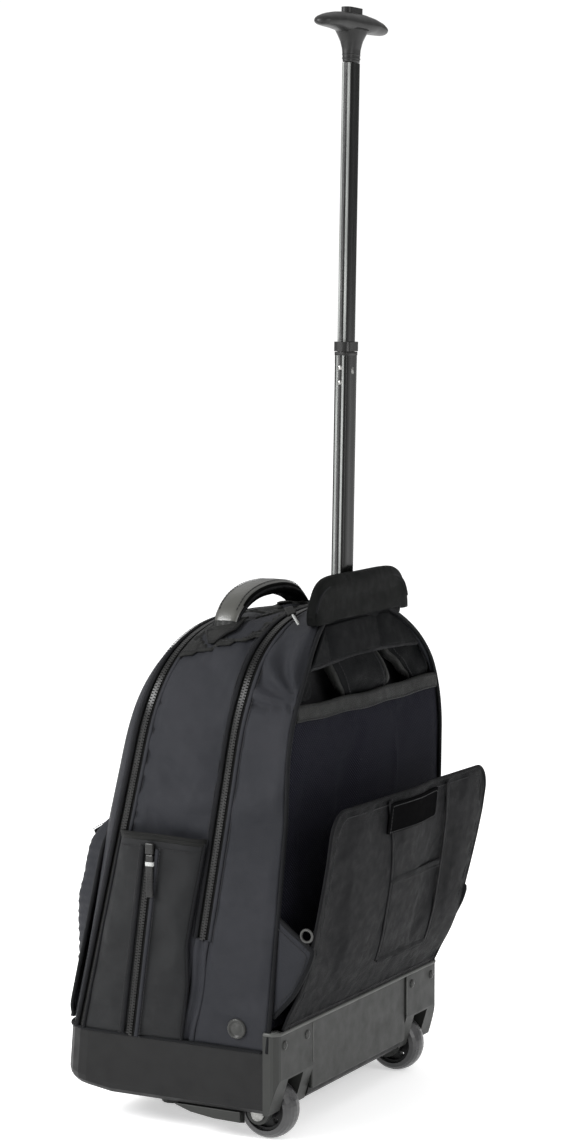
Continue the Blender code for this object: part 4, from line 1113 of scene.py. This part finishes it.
def hood():
    """A padded cover with a rolled top, sewn round by a piping."""
    columns, ring = 56, 40
    rings = []
    for k in range(columns + 1):
        share = 0.02 + 0.96 * k / columns
        x, low, high = hood_edge(share)
        fat = 5.0 * (1 - abs(2 * share - 1) ** 7) + 0.8
        rings.append(hood_section(x, low, high, fat, ring))
    rings = np.array(rings)
    centre = np.array((4.0, HOOD_MIDDLE_Y, 480.0))
    away = rings - centre
    away /= np.linalg.norm(away, axis=2, keepdims=True)
    out = np.zeros_like(rings)
    out[..., 1] = np.sign(away[..., 1])
    rings = ripple(rings, out, 30.0, 2.2, (0.8, 1.0, 1.4), 6.0)
    faces = grid_faces(columns + 1, ring, closed=True)
    faces += [tuple(range(ring)), tuple(columns * ring + n for n in range(ring))[::-1]]
    flat = np.stack([rings[..., 0], np.broadcast_to(np.arange(ring) * 3.6, rings.shape[:2])],
                    axis=2).reshape(-1, 2)
    made = new_piece("hood_cover", rings, faces, HOOD_CLOTH, "hood", flat)
    fix_normals(made)
    settle(made, [k * ring + n for k in range(columns + 1) for n in range(ring)
                  if rings[k, n, 2] < 479.0], 0.0, 4.0, 12, 1.6)
    smooth = made.modifiers.new("smooth", "SUBSURF")
    smooth.levels = smooth.render_levels = 1
    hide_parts("hood")
    line = []
    for share in np.linspace(0.06, 0.94, 90):
        x, low, high = hood_edge(share)
        drop = 3.0 + 6.0 * (1 - abs(2 * share - 1) ** 3)
        line.append((x * 0.985 + 0.06, HOOD_MIDDLE_Y + 4.9, max(high - drop, low + 1.0)))
    piping = sweep("hood_piping", rounded(line, 110, 3), oval(2.8, 2.8, 8), PIPING, "hood",
                   (0, 1, 0))
    row = stitches("hood_stitches", np.array(line)[4:-4] + np.array((0, 1.0, -3.6)), (0, 1, 0),
                   THREAD, "hood")
    hinge = [(x, 113.5 + 1.5 * math.cos(x / 40), 458.5 + 1.5 * math.cos(x / 60))
             for x in np.linspace(78, -74, 60)]
    strip = sweep("hood_hinge_cloth", hinge, oval(9.0, 4.0, 12, 0.7), YOKE_CLOTH, "bag",
                  (0, 0, 1))


# ---------------------------------------------------------------- grab handle and top panel

HANDLE_X, HANDLE_Y, HANDLE_HALF_SPAN, HANDLE_RISE, HANDLE_SPRING_Z = 24.0, 25.0, 72.0, 38.5, 445.0


def handle_line(count):
    """From the left foot, whose leg stands up straighter, over to the right foot."""
    points = []
    for angle in np.radians(np.linspace(3, 158, 80)):
        bow = math.cos(angle)
        reach = 79.0 * bow ** 0.8 if bow > 0 else HANDLE_HALF_SPAN * bow
        points.append((HANDLE_X + reach, HANDLE_Y, HANDLE_SPRING_Z + HANDLE_RISE * math.sin(angle)))
    return smooth_line(points, count)


def grab_handle():
    """A padded skin over foam: a glossy outer face, a matt underside painted near-black as painted
    shade, and a piping at each edge.
    """
    count = 90
    line = handle_line(count)
    share = np.minimum(np.arange(count), np.arange(count)[::-1]) / (count / 2)
    thick = 2.4 + 4.6 * np.clip(share * 2.2, 0, 1) ** 0.8
    wide = 10.5 + 2.5 * np.clip(share * 3.0, 0, 1)
    shapes = np.stack([wide, thick], axis=1)
    turns = np.linspace(0, 2 * math.pi, 25)[:-1]
    section = np.stack([np.sign(np.cos(turns)) * np.abs(np.cos(turns)) ** 0.6,
                        np.sign(np.sin(turns)) * np.abs(np.sin(turns)) ** 0.75], axis=1)
    body = sweep("handle_pad", line, section, HANDLE_SKIN, "grab_handle", (0, 1, 0), shapes=shapes)
    body.data.materials.append(HANDLE_UNDER_SHADE)
    pale = len(body.data.materials)
    body.data.materials.append(HANDLE_BAND)
    middle = bag_point(HANDLE_X, HANDLE_Y, HANDLE_SPRING_Z - 30.0)
    for face in body.data.polygons:
        out = (face.center - middle).normalized()
        # Faces turned in under the arch get the near-black painted shade.
        if face.normal.x * out.x + face.normal.z * out.z < 0.5:
            face.material_index = 1
        elif face.center.z / MM < HANDLE_SPRING_Z + 14.0:
            face.material_index = pale
    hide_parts("grab_handle")
    for place, sign in (("front", -1), ("rear", 1)):
        edge = line + np.stack([np.zeros(count), sign * wide * 0.98, np.zeros(count)], axis=1)
        bead = sweep(f"handle_piping_{place}", edge[3:-3], oval(2.6, 2.6, 8), PIPING,
                     "grab_handle", (0, 1, 0))
        ahead = headings(line)
        up = np.cross(ahead, (0, 1, 0))
        up = np.where(up[:, 2:] < 0, -up, up)
        top = line + up * thick[:, None] * 0.93
        top[:, 1] += sign * wide * 0.72
        row = stitches(f"handle_stitches_{place}", top[12:-12], up[12:-12], THREAD, "grab_handle",
                       4.0, 2.8)


def press_onto(piece, target, gap):
    """Lays a piece of cloth on another one, a little above it."""
    lay = piece.modifiers.new("lay", "SHRINKWRAP")
    piece.modifiers.move(len(piece.modifiers) - 1, 0)
    lay.target = target
    lay.wrap_method = "NEAREST_SURFACEPOINT"
    lay.wrap_mode = "ABOVE_SURFACE"
    lay.offset = gap * MM
    others = [m for m in piece.modifiers if m != lay]
    for modifier in others:
        modifier.show_viewport = False
    graph = bpy.context.evaluated_depsgraph_get()
    result = piece.evaluated_get(graph).to_mesh()
    places = np.empty(len(piece.data.vertices) * 3)
    result.vertices.foreach_get("co", places)
    piece.evaluated_get(graph).to_mesh_clear()
    piece.modifiers.remove(lay)
    piece.data.vertices.foreach_set("co", places)
    piece.data.update()
    for modifier in others:
        modifier.show_viewport = True


def top_cloth(wall, main):
    """The smoother panel over the top, whose lower edge runs slanting across each side."""
    columns = main.shape[1]
    picked = []
    for c in range(columns):
        line = main[:, c]
        floor = 424.0 + 22.0 * c / (columns - 1)
        above = np.flatnonzero(line[:, 2] > floor)
        picked.append(smooth_line(line[above[0]:above[-1] + 1], 110))
    grid = np.stack(picked, axis=1)
    panel = cloth("top_panel", grid, TOP_PANEL, "bag", (0, 30, 230), 1.2, 1.0)
    press_onto(panel, wall, 1.1)
    places = np.empty(len(panel.data.vertices) * 3)
    panel.data.vertices.foreach_get("co", places)
    grid = (places.reshape(-1, columns, 3) / MM) - ROW_SHIFT
    for side, row in (("left", 0), ("right", -1)):
        out = outward(grid, (0, 30, 230))[row]
        step = 2 if row == 0 else -3
        line = grid[step] + outward(grid, (0, 30, 230))[step] * 1.4
        seam = stitches(f"top_panel_stitches_{side}", line, out, THREAD, "bag")


def handle_anchors(wall):
    """A stitched patch under each end of the grab handle, with a crossed box of thread."""
    rows, columns = 22, 14
    for side, sign, start in (("left", 1, 87.0), ("right", -1, 28.0)):
        grid = []
        for x in np.linspace(start, start + 42.0, rows):
            taper = 1.0 if x < start + 24 else 1.0 - 0.8 * (x - start - 24.0) / 18.0
            grid.append([(sign * x, HANDLE_Y + 16.0 * taper * u, 462.0 - 0.45 * (x - start))
                         for u in np.linspace(-1, 1, columns)])
        patch = cloth(f"handle_patch_{side}", grid, TOP_PANEL, "bag", (0, 29, 300), 1.6, 1.0)
        press_onto(patch, wall, 2.4)
        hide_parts(f"handle_anchor_{side}")
        places = np.empty(len(patch.data.vertices) * 3)
        patch.data.vertices.foreach_get("co", places)
        grid = (places.reshape(rows, columns, 3) / MM) - ROW_SHIFT
        normals = outward(grid, (0, 29, 300))
        lifted = grid + normals * 1.8
        corners = [lifted[5, 1], lifted[5, -2], lifted[12, -2], lifted[12, 1], lifted[5, 1],
                   lifted[12, -2], lifted[12, 1], lifted[5, -2]]
        thread = stitches(f"handle_patch_stitches_{side}", corners, normals.mean((0, 1)), THREAD,
                          "bag", 3.0, 2.2)
        rim = np.concatenate([lifted[12:-1, 1], lifted[12:-1, -2][::-1]])
        row = stitches(f"handle_patch_rim_{side}", rim, normals.mean((0, 1)), THREAD, "bag")


# ---------------------------------------------------------------- rear flap

FLAP_PROFILE = ((115.0, 105.4), (121.5, 120.0), (131.0, 138.0), (137.0, 153.0), (142.5, 170.0),
                (147.5, 190.0), (152.5, 210.0), (158.0, 234.0), (163.0, 258.0), (166.3, 280.0),
                (168.6, 303.0))
FLAP_TOP, FLAP_CORNER = 303.0, 24.0


def flap_half(z):
    """The flap's half-width, which its rounded upper corners cut short."""
    below = max(0.0, z - (FLAP_TOP - FLAP_CORNER))
    half = 155.5 + 4.5 * min(1.0, (z - 105.0) / 160.0)
    return half - FLAP_CORNER + math.sqrt(max(0.0, FLAP_CORNER ** 2 - below ** 2))


def flap_point(x, z, proud=0.0):
    """A point on the flap's outer face, with the soft waves of cloth that stands by itself."""
    heights = [p[1] for p in FLAP_PROFILE]
    y = float(np.interp(z, heights, [p[0] for p in FLAP_PROFILE]))
    rise = min(1.0, max(0.0, (z - 108.0) / 150.0))
    wave = (1.7 * math.sin(x / 33.0 + 0.8) + 0.9 * math.sin(x / 17.0 - z / 60.0)) * rise ** 0.7
    wave += 1.6 * noise.noise(Vector((x / 52.0, 2.2, z / 75.0))) * rise
    slope = 0.33
    return (x, y + wave - 1.6 + proud, z - slope * proud)


def flap_line(points, proud):
    """A line on the flap through the given (x, z) points."""
    line = smooth_line([(x, 0.0, z) for x, z in points], 60)
    return np.array([flap_point(x, z, proud) for x, _, z in line])


def flap_seam(name, points):
    """Two layers of cloth sewn together: a folded ridge with a row of stitches beside it."""
    line = flap_line(points, 1.1)
    upright = abs(line[0, 2] - line[-1, 2]) > abs(line[0, 0] - line[-1, 0])
    ridge = sweep(f"flap_{name}", line, oval(5.0, 1.0, 10, 0.7), SHADED_FLAP_NYLON, "rear_flap",
                  (1, 0, 0) if upright else (0, 0, 1))
    beside = line + (np.array((-4.4, 0.1, 0)) if line[0, 2] - line[-1, 2] > 60 else
                     np.array((0, 0.8, -4.0)))
    row = stitches(f"flap_stitches_{name}", beside, (0, 0.95, -0.3), THREAD, "rear_flap")
    return [ridge, row]


def rear_flap():
    """The cover that folds down over the wheels, standing off the back."""
    rows, columns = 60, 90
    grid = []
    for k in range(rows):
        z = 105.6 + (FLAP_TOP - 0.4 - 105.6) * (1 - (1 - k / (rows - 1)) ** 1.5)
        half = flap_half(z)
        grid.append([flap_point(u * half, z) for u in np.linspace(-1, 1, columns)])
    grid = np.array(grid)
    made = cloth("flap", grid, SHADED_FLAP_NYLON, "rear_flap", BACK_INSIDE, 2.2)
    settle(made, grid_edges(rows, columns), 0.004, 0.0, 12, 1.0, bend=2.0)
    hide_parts("rear_flap")
    pieces = []
    edge = np.concatenate([grid[:, 0], grid[-1, 1:-1], grid[::-1, -1]]) - np.array((0, 1.0, 0))
    bound = sweep("flap_binding", smooth_line(edge, 260), oval(3.0, 4.0, 10, 0.8), SHADED_FLAP_NYLON,
                  "rear_flap", (0, 1, 0.1))
    pieces.append(bound)
    pieces += flap_seam("seam_left", ((56, 300), (40, 262), (27, 221), (17, 175), (11, 142)))
    pieces += flap_seam("seam_right", ((-71, 299), (-80, 262), (-86, 230), (-94, 185), (-98, 140)))
    pieces += flap_seam("seam_low", ((10, 142), (-96, 140)))
    pieces += flap_seam("seam_middle", ((28, 222), (-84, 220)))
    hem = flap_line(((150, 110.5), (-150, 110.5)), 1.0)
    row = stitches("flap_stitches_hem", hem, (0, 0.9, -0.4), THREAD, "rear_flap")
    pieces.append(row)
    rim = [(x * 0.94, y, 118 + (z - 118) * 0.965) for x, y, z in smooth_line(edge, 200)]
    line = np.array([flap_point(x, z, 0.5) for x, _, z in rim])
    row = stitches("flap_stitches_rim", line, (0, 0.95, -0.3), THREAD, "rear_flap")
    pieces.append(row)
    patch = [[flap_point(x, z, 1.3) for x in np.linspace(53, -50, 40)]
             for z in np.linspace(269, 297, 14)]
    hooks = cloth("flap_hook_patch", patch, HOOK_TAPE, "rear_flap", BACK_INSIDE, 1.8, -0.2)
    pieces.append(hooks)
    border = flap_line(((51, 271), (51, 295), (-48, 295), (-48, 271), (51, 271)), 3.0)
    row = stitches("flap_hook_stitches", smooth_line(border, 130), (0, 0.95, -0.3), THREAD,
                   "rear_flap")
    pieces.append(row)


# ---------------------------------------------------------------- front door

def arch_cloth(name, seam, bottom, inset, shift, crown, surface, body, thickness):
    """A panel that fills an arch, crowned away from the bag."""
    around = seam.line(bottom, 150, inset)
    foot = smooth_line([around[-1], around[0]], 60)[1:-1]
    outline = np.concatenate([around, foot]) + np.array((0, shift, 0))
    middle = np.array((0.0, seam.depth(250.0) + shift, 245.0))
    sizes = np.concatenate([np.linspace(1.0, 0.9, 8), np.linspace(0.86, 0.06, 18)])
    rings = []
    for size in sizes:
        ring = middle + (outline - middle) * size
        crowned = crown * np.interp(ring[:, 2], (120.0, 280.0), (0.5, 1.0))
        ring[:, 1] -= crowned * (1 - size ** 14)
        ring[:, 1] += -1.8 * np.array([noise.noise(Vector((p[0] / 70, 4.4, p[2] / 90)))
                                       for p in ring]) * min(1.0, (1 - size) * 8)
        rings.append(ring)
    made = capped(name, rings, surface, body, np.array(rings).reshape(-1, 3)[:, (0, 2)])
    orient(made, (0, 500, 240))
    wall = made.modifiers.new("wall", "SOLIDIFY")
    wall.thickness = thickness * MM
    return made


POCKET_PROUD = ((92, 12.0), (100, 16.0), (112, 18.0), (150, 26.0), (178, 33.0), (205, 37.0),
                (235, 40.0), (256, 38.5), (269, 34.5), (277, 28.0), (281, 22.5))


def pocket_face(x, z):
    """A point on the front pocket's outer face, which is boxy, with a short side wall."""
    proud = float(np.interp(z, [p[0] for p in POCKET_PROUD], [p[1] for p in POCKET_PROUD]))
    rim = min(proud, 17.0)
    u = min(1.0, abs(x) / pocket_half(z))
    return (x, front_depth(z) - (rim + (proud - rim) * (1 - u ** 36)), z)


def pocket_half(z):
    return 150.0 - 20.0 * max(0.0, (z - 245.0) / 36.0) ** 2


def front_door():
    made = arch_cloth("front_cloth", FRONT, 90.6, 0.4, -3.2, 21.0, NYLON, "front_door", 3.0)
    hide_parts("front_panel")
    rows, columns = 60, 96
    grid = []
    for z in np.linspace(92.0, 281.0, rows):
        half = pocket_half(z)
        shares = np.sin(np.linspace(-math.pi / 2, math.pi / 2, columns))
        grid.append([pocket_face(u * half, z) for u in shares])
    grid = np.array(grid)
    normals = outward(grid, (0, 300, 180))
    fade = np.outer(edge_fade(rows, 4), edge_fade(columns, 4))
    grid = ripple(grid, normals, 60.0, 3.2, (1.0, 1.0, 1.5), 8.1, fade)
    ribs = np.sin(grid[..., 2] / 1.35) * np.exp(-((np.abs(grid[..., 0]) - 143.0) / 5.0) ** 2)
    grid = grid + normals * (0.55 * ribs)[..., None]
    pocket = cloth("front_pocket_cloth", grid, NYLON, "front_door", (0, 300, 180), 2.0)
    settle(pocket, grid_edges(rows, columns), 0.01, 1.6, 14, 4.0)
    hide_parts("front_pocket")
    rim = np.concatenate([grid[:, 0], grid[-1, 1:-1], grid[::-1, -1]])
    cord = sweep("front_pocket_piping", smooth_line(rim, 240) + np.array((0, 0.4, 0)),
                 oval(4.4, 4.4, 10), PIPING, "front_door", (0, 1, 0))
    walls = []
    for share in (0.0, 0.5, 1.0):
        ring = rim.copy()
        base = np.array([front_depth(z) - 15.0 for z in rim[:, 2]])
        ring[:, 1] = rim[:, 1] + (base - rim[:, 1]) * share
        walls.append(ring)
    side = cloth("front_pocket_side", np.array(walls).transpose(1, 0, 2), NYLON, "front_door",
                 (0, -115, 180), 1.6)
    line = np.array([pocket_face(x, 258.0 - 6.0 * (x / 118.0) ** 4) for x in
                     np.linspace(118, -118, 150)])
    line[:, 1] -= 2.6
    down = np.broadcast_to(np.array((0.0, 0.30, -0.95)), line.shape)
    out = np.broadcast_to(np.array((0.0, -0.95, -0.30)), line.shape)
    zip_band("front_pocket_zip", line, down, out, ("front_door", "front_door"))
    upper = [(x, front_depth(320.0) - 19.4 + 0.3 * (x / 60) ** 2, 322.0 + 10 * math.cos(x / 70.0))
             for x in np.linspace(96, -96, 120)]
    down = np.broadcast_to(np.array((0.0, -0.22, -0.97)), (120, 3))
    out = np.broadcast_to(np.array((0.0, -0.97, 0.22)), (120, 3))
    zip_band("front_upper_zip", np.array(upper), down, out, ("front_door", "front_door"))


# ---------------------------------------------------------------- side pockets

POCKET_BACK = ((88.0, 15.0), (139.0, 22.0), (175.0, 21.0), (230.0, 32.0), (272.0, 41.0))
POCKET_FACE = {"left": (169.0, 175.0), "right": (169.0, 179.0)}
POCKET_FOOT, POCKET_MOUTH = 87.6, 270.0


def pocket_span(z):
    """Where a side pocket starts and ends, from front to back."""
    back = float(np.interp(z, [p[0] for p in POCKET_BACK], [p[1] for p in POCKET_BACK]))
    return -88.0 + 41.0 * (z - 90.0) / 180.0 + 1.0, back


def side_pocket_point(side, sign, share, z):
    """A point on a side pocket's face, at a share of the way from its front to its back."""
    front, back = pocket_span(z)
    low, high = POCKET_FACE[side]
    face = low + (high - low) * (z - 90.0) / 180.0
    base = 165.0
    bow = (1 - abs(2 * share - 1) ** 5) ** 0.8
    bow *= min(1.0, 0.25 + (z - POCKET_FOOT) / 12.0)
    return (sign * (base + (face - base) * bow), front + (back - front) * share, z)


def side_pocket(side, sign):
    rows, columns = 64, 48
    grid = []
    for k in range(rows):
        row = []
        for share in np.linspace(0, 1, columns):
            lip = POCKET_MOUTH + 1.5 * math.sin(math.pi * share) - 2.0 * share
            z = POCKET_FOOT + (lip - POCKET_FOOT) * k / (rows - 1)
            row.append(side_pocket_point(side, sign, share, z))
        grid.append(row)
    grid = np.array(grid)
    inside = (0.0, -20.0, 180.0)
    normals = outward(grid, inside)
    fade = np.outer(edge_fade(rows, 4), edge_fade(columns, 5))
    if side == "left":
        y = grid[..., 1] - zip_y(grid[..., 2])
        fade = fade * np.clip(np.abs(y) / 14.0 - 0.6, 0.0, 1.0)
    grid = ripple(grid, normals, 34.0, 2.6, (1.0, 1.0, 0.8), 3.3 if side == "left" else 12.5, fade)
    fold = np.sin((grid[..., 1] * 0.5 - grid[..., 2]) / 9.0)
    grid = grid + normals * (0.9 * fold * fade)[..., None]
    grid = ripple(grid, normals, 17.0, 1.6, (1.0, 0.5, 1.3), 8.8, fade)
    made = cloth(f"pocket_{side}", grid, POCKET_CLOTH, "bag", inside, 2.0)
    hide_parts(f"side_pocket_{side}")
    lip = sweep(f"pocket_lip_{side}", grid[-1] + np.array((-sign * 1.0, 0, 0.4)),
                oval(3.4, 7.0, 12, 0.7), BINDING, "bag", (1, 0, 0))
    row = stitches(f"pocket_lip_stitches_{side}", grid[-4] + normals[-4] * 0.4, (sign, 0, 0),
                   THREAD, "bag")
    for place, k in (("front", 0), ("rear", -1)):
        bead = sweep(f"pocket_seam_{place}_{side}", grid[:, k] + np.array((sign * 0.8, 0, 0)),
                     oval(3.0, 3.2, 8), PIPING, "bag", (1, 0, 0))


def zip_y(z):
    """Where the left pocket's upright zip runs."""
    return -10.0 + 0.152 * (z - 263.0)


def pocket_zip():
    heights = np.linspace(262.0, POCKET_FOOT + 0.5, 120)
    line = np.array([(175.4 + (z - 263.0) / 30.0, zip_y(z), z) for z in heights])
    out = np.broadcast_to(np.array((1.0, 0.0, -0.033)), line.shape)
    side = np.broadcast_to(np.array((0.0, 0.989, -0.150)), line.shape)
    zip_band("pocket_zip", line, side, out, ("bag", "bag"))
    x, y, z = 177.6, -10.0, 263.0
    band = [(x, y, z - 14.0), (x, y, z - 17.5)]
    ring = sweep("pocket_pull_band", smooth_line(band, 6), oval(4.0, 8.4, 14, 0.6), PALE_METAL,
                 "pocket_pull", (1, 0, 0))
    ribs = [((x + 0.9, y, z - 24.0 - 2.4 * k), ((0.5, 0, 0), (0, 2.6, 0), (0, 0, 0.6)))
            for k in range(8)]
    grip = boxes("pocket_pull_ribs", ribs, ZIP_BLACK, "pocket_pull")
    link = []
    for a in np.linspace(0, 2 * math.pi, 25)[:-1]:
        link.append((x, y + 2.6 * math.cos(a), z - 9.4 + 3.4 * math.sin(a)))
    eye = sweep("pocket_pull_link", link, oval(1.3, 1.3, 8), ZIP_BLACK, "pocket_pull", (1, 0, 0),
                closed=True)


# ---------------------------------------------------------------- pole and grip

def laptop_pull():
    """The laptop zip's pull: a slim moulded tag with a rounded tip."""
    low, high = (np.array(corner) / MM - ROW_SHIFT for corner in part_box("laptop_pull"))
    start, end = np.array((low[0], low[1], high[2])), np.array((high[0], high[1], low[2]))
    run = (end - start) / np.linalg.norm(end - start)
    start, end = start + run * 2.0, end - run * 2.0
    line = smooth_line([start, end], 30)
    share = np.linspace(0, 1, 30)
    wide = 1.7 + 0.9 * share - 1.6 * np.clip((share - 0.94) / 0.06, 0, 1) ** 2
    turns = np.linspace(0, 2 * math.pi, 13)[:-1]
    section = np.stack([np.cos(turns), np.sin(turns)], axis=1)
    shapes = np.stack([wide, np.full(30, 1.1)], axis=1)
    tag = sweep("laptop_pull_tag", line, section, PALE_METAL, "laptop_pull", (1, 0, 0),
                shapes=shapes)
    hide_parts("laptop_pull")


FLUTE_SHARE = 0.30  # of each face's width


def fluted(width, depth, groove=1.1):
    """A rounded tube outline with a shallow groove down the middle of each face."""
    count = 96
    outline = []
    for a in np.arange(count) * 2 * math.pi / count + math.pi / count:
        x = width / 2 * math.copysign(abs(math.cos(a)) ** 0.42, math.cos(a))
        y = depth / 2 * math.copysign(abs(math.sin(a)) ** 0.42, math.sin(a))
        reach_x = abs(x) / (width * FLUTE_SHARE / 2)
        reach_y = abs(y) / (depth * FLUTE_SHARE / 2)
        if reach_x < 1 and abs(y) > depth * 0.35:
            y -= math.copysign(groove * (math.cos(math.pi * reach_x) + 1) / 2, y)
        if reach_y < 1 and abs(x) > width * 0.35:
            x -= math.copysign(groove * (math.cos(math.pi * reach_y) + 1) / 2, x)
        outline.append((x, y))
    return np.array(outline)


def pole_line(low, high, count=12):
    return [tuple(pole_point(0, 0, z)) for z in np.linspace(low, high, count)]


def pole():
    for name, body, width, depth, low, high in (
            ("lower_tube", "lower_tube", 24.0, 14.0, 330.4, 699.6),
            ("upper_tube", "upper_tube", 20.4, 10.4, 600.4, 959.8)):
        tube = sweep(f"{name}_fluted", pole_line(low, high), fluted(width, depth), BLACK_TUBE,
                     BODY_OF[name], (1, 0, 0))
        tube.data.set_sharp_from_angle(angle=math.radians(70.0))
        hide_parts(name)
    body = BODY_OF["lower_tube"]
    for k, z in enumerate((698.0 - 12.5, 698.0 - 26.0)):
        at = np.array(pole_point(11.6, 0, z))
        line = [at + np.array((d, 0, 0)) for d in (-0.6, 0.6, 1.1)]
        rivet = sweep(f"tube_rivet_{k}", line, oval(5.0, 5.0, 16), STEEL, body, (0, 1, 0),
                      shapes=[1.0, 1.0, 0.6])
    line = [np.array(pole_point(0, 6.6, z)) + np.array((0, 0, 0)) for z in (686.0, 680.0)]
    spring = sweep("tube_spring_button", line, oval(4.4, 2.2, 12), STEEL, body, (1, 0, 0))
    sleeve = sweep("tube_mouth_ring", pole_line(696.8, 699.9, 4), fluted(24.6, 14.6, 0.9), GRIP,
                   body, (1, 0, 0))


def grip():
    """A lens-shaped T bar on a neck that flares into it."""
    body = BODY_OF["grip"]
    sections = ((-64, 5, 3.5, 992.3), (-63, 10, 6.4, 992.6), (-58, 17, 9.6, 993.3),
                (-48, 22, 12.6, 994.4), (-34, 25, 15.2, 995.3), (-16, 26.5, 18.6, 995.2),
                (0, 27, 19.6, 995))
    sections += tuple((-a, b, c, d) for a, b, c, d in sections[-2::-1])
    spread = np.array(sections, float)
    places = np.linspace(-64, 64, 61)
    rings = []
    for x in places:
        depth, height, z = (np.interp(x, spread[:, 0], spread[:, k]) for k in (1, 2, 3))
        loop = []
        for a in np.linspace(0, 2 * math.pi, 29)[:-1]:
            loop.append(tuple(pole_point(x, depth / 2 * math.cos(a),
                                         z + height / 2 * math.sin(a))))
        rings.append(loop)
    rings = np.array(rings)
    faces = grid_faces(len(rings), 28, closed=True)
    faces += [tuple(range(28)), tuple((len(rings) - 1) * 28 + n for n in range(28))[::-1]]
    bar = new_piece("grip_bar", rings, faces, GRIP, body)
    fix_normals(bar)
    smooth = bar.modifiers.new("smooth", "SUBSURF")
    smooth.levels = smooth.render_levels = 1
    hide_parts("grip")
    levels = ((960.4, 21.5, 11.6), (965.0, 21.8, 12.0), (972.0, 22.4, 13.4), (979.0, 25.5, 17.0),
              (985.0, 33.0, 21.5), (990.0, 46.0, 24.0))
    line = [tuple(pole_point(0, 0, z)) for z in np.linspace(960.4, 990.0, 22)]
    spread = np.array(levels)
    shapes = []
    for z in np.linspace(960.4, 990.0, 22):
        shapes.append((np.interp(z, spread[:, 0], spread[:, 1]) / 2,
                       np.interp(z, spread[:, 0], spread[:, 2]) / 2))
    turns = np.linspace(0, 2 * math.pi, 33)[:-1]
    section = np.stack([np.sign(np.cos(turns)) * np.abs(np.cos(turns)) ** 0.75,
                        np.sign(np.sin(turns)) * np.abs(np.sin(turns)) ** 0.75], axis=1)
    neck = sweep("grip_neck_flare", line, section, GRIP, body, (1, 0, 0), shapes=shapes)
    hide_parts("grip_neck")
    for k, z in enumerate((963.0, 966.4)):
        groove = sweep(f"grip_neck_ring_{k}", pole_line(z, z + 1.2, 3), oval(22.6, 12.8, 32, 0.75),
                       GRIP, body, (1, 0, 0))


# ---------------------------------------------------------------- plate, housings, boot, rondel

SCREW_RADIUS = 4.2


def screw(name, place, out):
    """A domed head with a crossed recess."""
    place, out = Vector(place), Vector(out).normalized()
    side = out.orthogonal().normalized()
    up = out.cross(side)
    rings = []
    for size, rise in ((1.0, -0.8), (1.0, 0.4), (0.86, 1.0), (0.6, 1.35), (0.3, 1.5)):
        loop = []
        for k in range(24):
            a = 2 * math.pi * k / 24
            dent = 0.55 if size < 0.7 and k % 6 == 0 else 0.0
            spoke = side * math.cos(a) + up * math.sin(a)
            loop.append(tuple(place + spoke * SCREW_RADIUS * size + out * (rise - dent)))
        rings.append(loop)
    made = capped(name, rings, SCREW, "bag")


def plate_details():
    """The rolled upper lip over plate and housings, the joints between them, and the screws; lip,
    corners and joints are painted paler than the plate as a painted highlight.
    """
    back = 112.4
    lip = [(166.2, 99.0, 103.2), (166.2, 108.0, 103.2), (161.0, back, 103.2), (100, back, 103.2),
           (-100, back, 103.2), (-161.0, back, 103.2), (-166.2, 108.0, 103.2),
           (-166.2, 99.0, 103.2)]
    made = sweep("plate_lip", rounded(lip, 220, 3), oval(3.6, 3.0, 10), PLATE_EDGE_HIGHLIGHT, "bag",
                 (0, 0, 1))
    for side, sign in SIDES:
        for k, (x, z) in enumerate(((109.0, 92.0), (152.0, 92.0))):
            screw(f"plate_screw_{side}_{k}", (sign * x, 112.6, z), (0, 1, 0))
        corner = sweep(f"plate_corner_{side}", [(sign * 155.0, 106.0, 104.0),
                                                (sign * 160.0, 106.0, 104.2),
                                                (sign * 165.0, 106.0, 103.9)],
                       oval(9.0, 2.6, 12, 0.6), PLATE_EDGE_HIGHLIGHT, "bag", (0, 1, 0))
        rib = [(sign * 97.6, 112.2, z) for z in np.linspace(101.0, 64.0, 8)]
        joint = sweep(f"plate_joint_{side}", rib, oval(2.0, 1.8, 8), PLATE_EDGE_HIGHLIGHT, "bag", (1, 0, 0))


def boot_details():
    """The piping where cloth meets the moulded boot."""
    path = [(165.2, 97.0, 86.4), (165.2, -83.0, 86.4)]
    path += [(135.0 + 30.2 * math.cos(a), -83.0 - 30.2 * math.sin(a), 86.4)
             for a in np.radians(np.linspace(6, 90, 12))]
    path += [(-x, y, z) for x, y, z in path[::-1]]
    made = sweep("boot_piping", smooth_line(path, 260), oval(3.2, 3.0, 10), PIPING, "bag",
                 (0, 0, 1))


def rondel():
    """The round button low on the left side: a raised rim round a dished centre."""
    low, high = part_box("side_rondel")
    middle = (low + high) / 2 / MM
    centre = np.array((0.0, middle.y - DEPTH_SHIFT, middle.z))
    base = low.x / MM
    profile = ((9.2, -0.6), (9.2, 1.4), (8.4, 2.5), (7.4, 2.6), (6.6, 1.7), (6.0, 1.2), (4.6, 1.6),
               (2.4, 2.1), (0.8, 2.2))
    rings = []
    for radius, rise in profile:
        rings.append([centre + np.array((base + rise, radius * math.cos(a), radius * math.sin(a)))
                      for a in np.linspace(0, 2 * math.pi, 41)[:-1]])
    made = capped("rondel", rings, SCREW, "bag")
    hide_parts("side_rondel")


BODY_OF = {name: body for body, names in frame["record"]["behaviour"]["bodies"].items()
           for name in names}

camera()
studio()
dress_frame()
gusset_walls()
zips()
strap_pocket()
yoke()
for side, sign in SIDES:
    shoulder_strap(side)
recess_corner()
wings()
hood()
grab_handle()
rear_flap()
front_door()
for side, sign in SIDES:
    side_pocket(side, sign)
pocket_zip()
laptop_pull()
pole()
grip()
plate_details()
boot_details()
rondel()

for piece, body in PIECES:
    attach(piece, body)
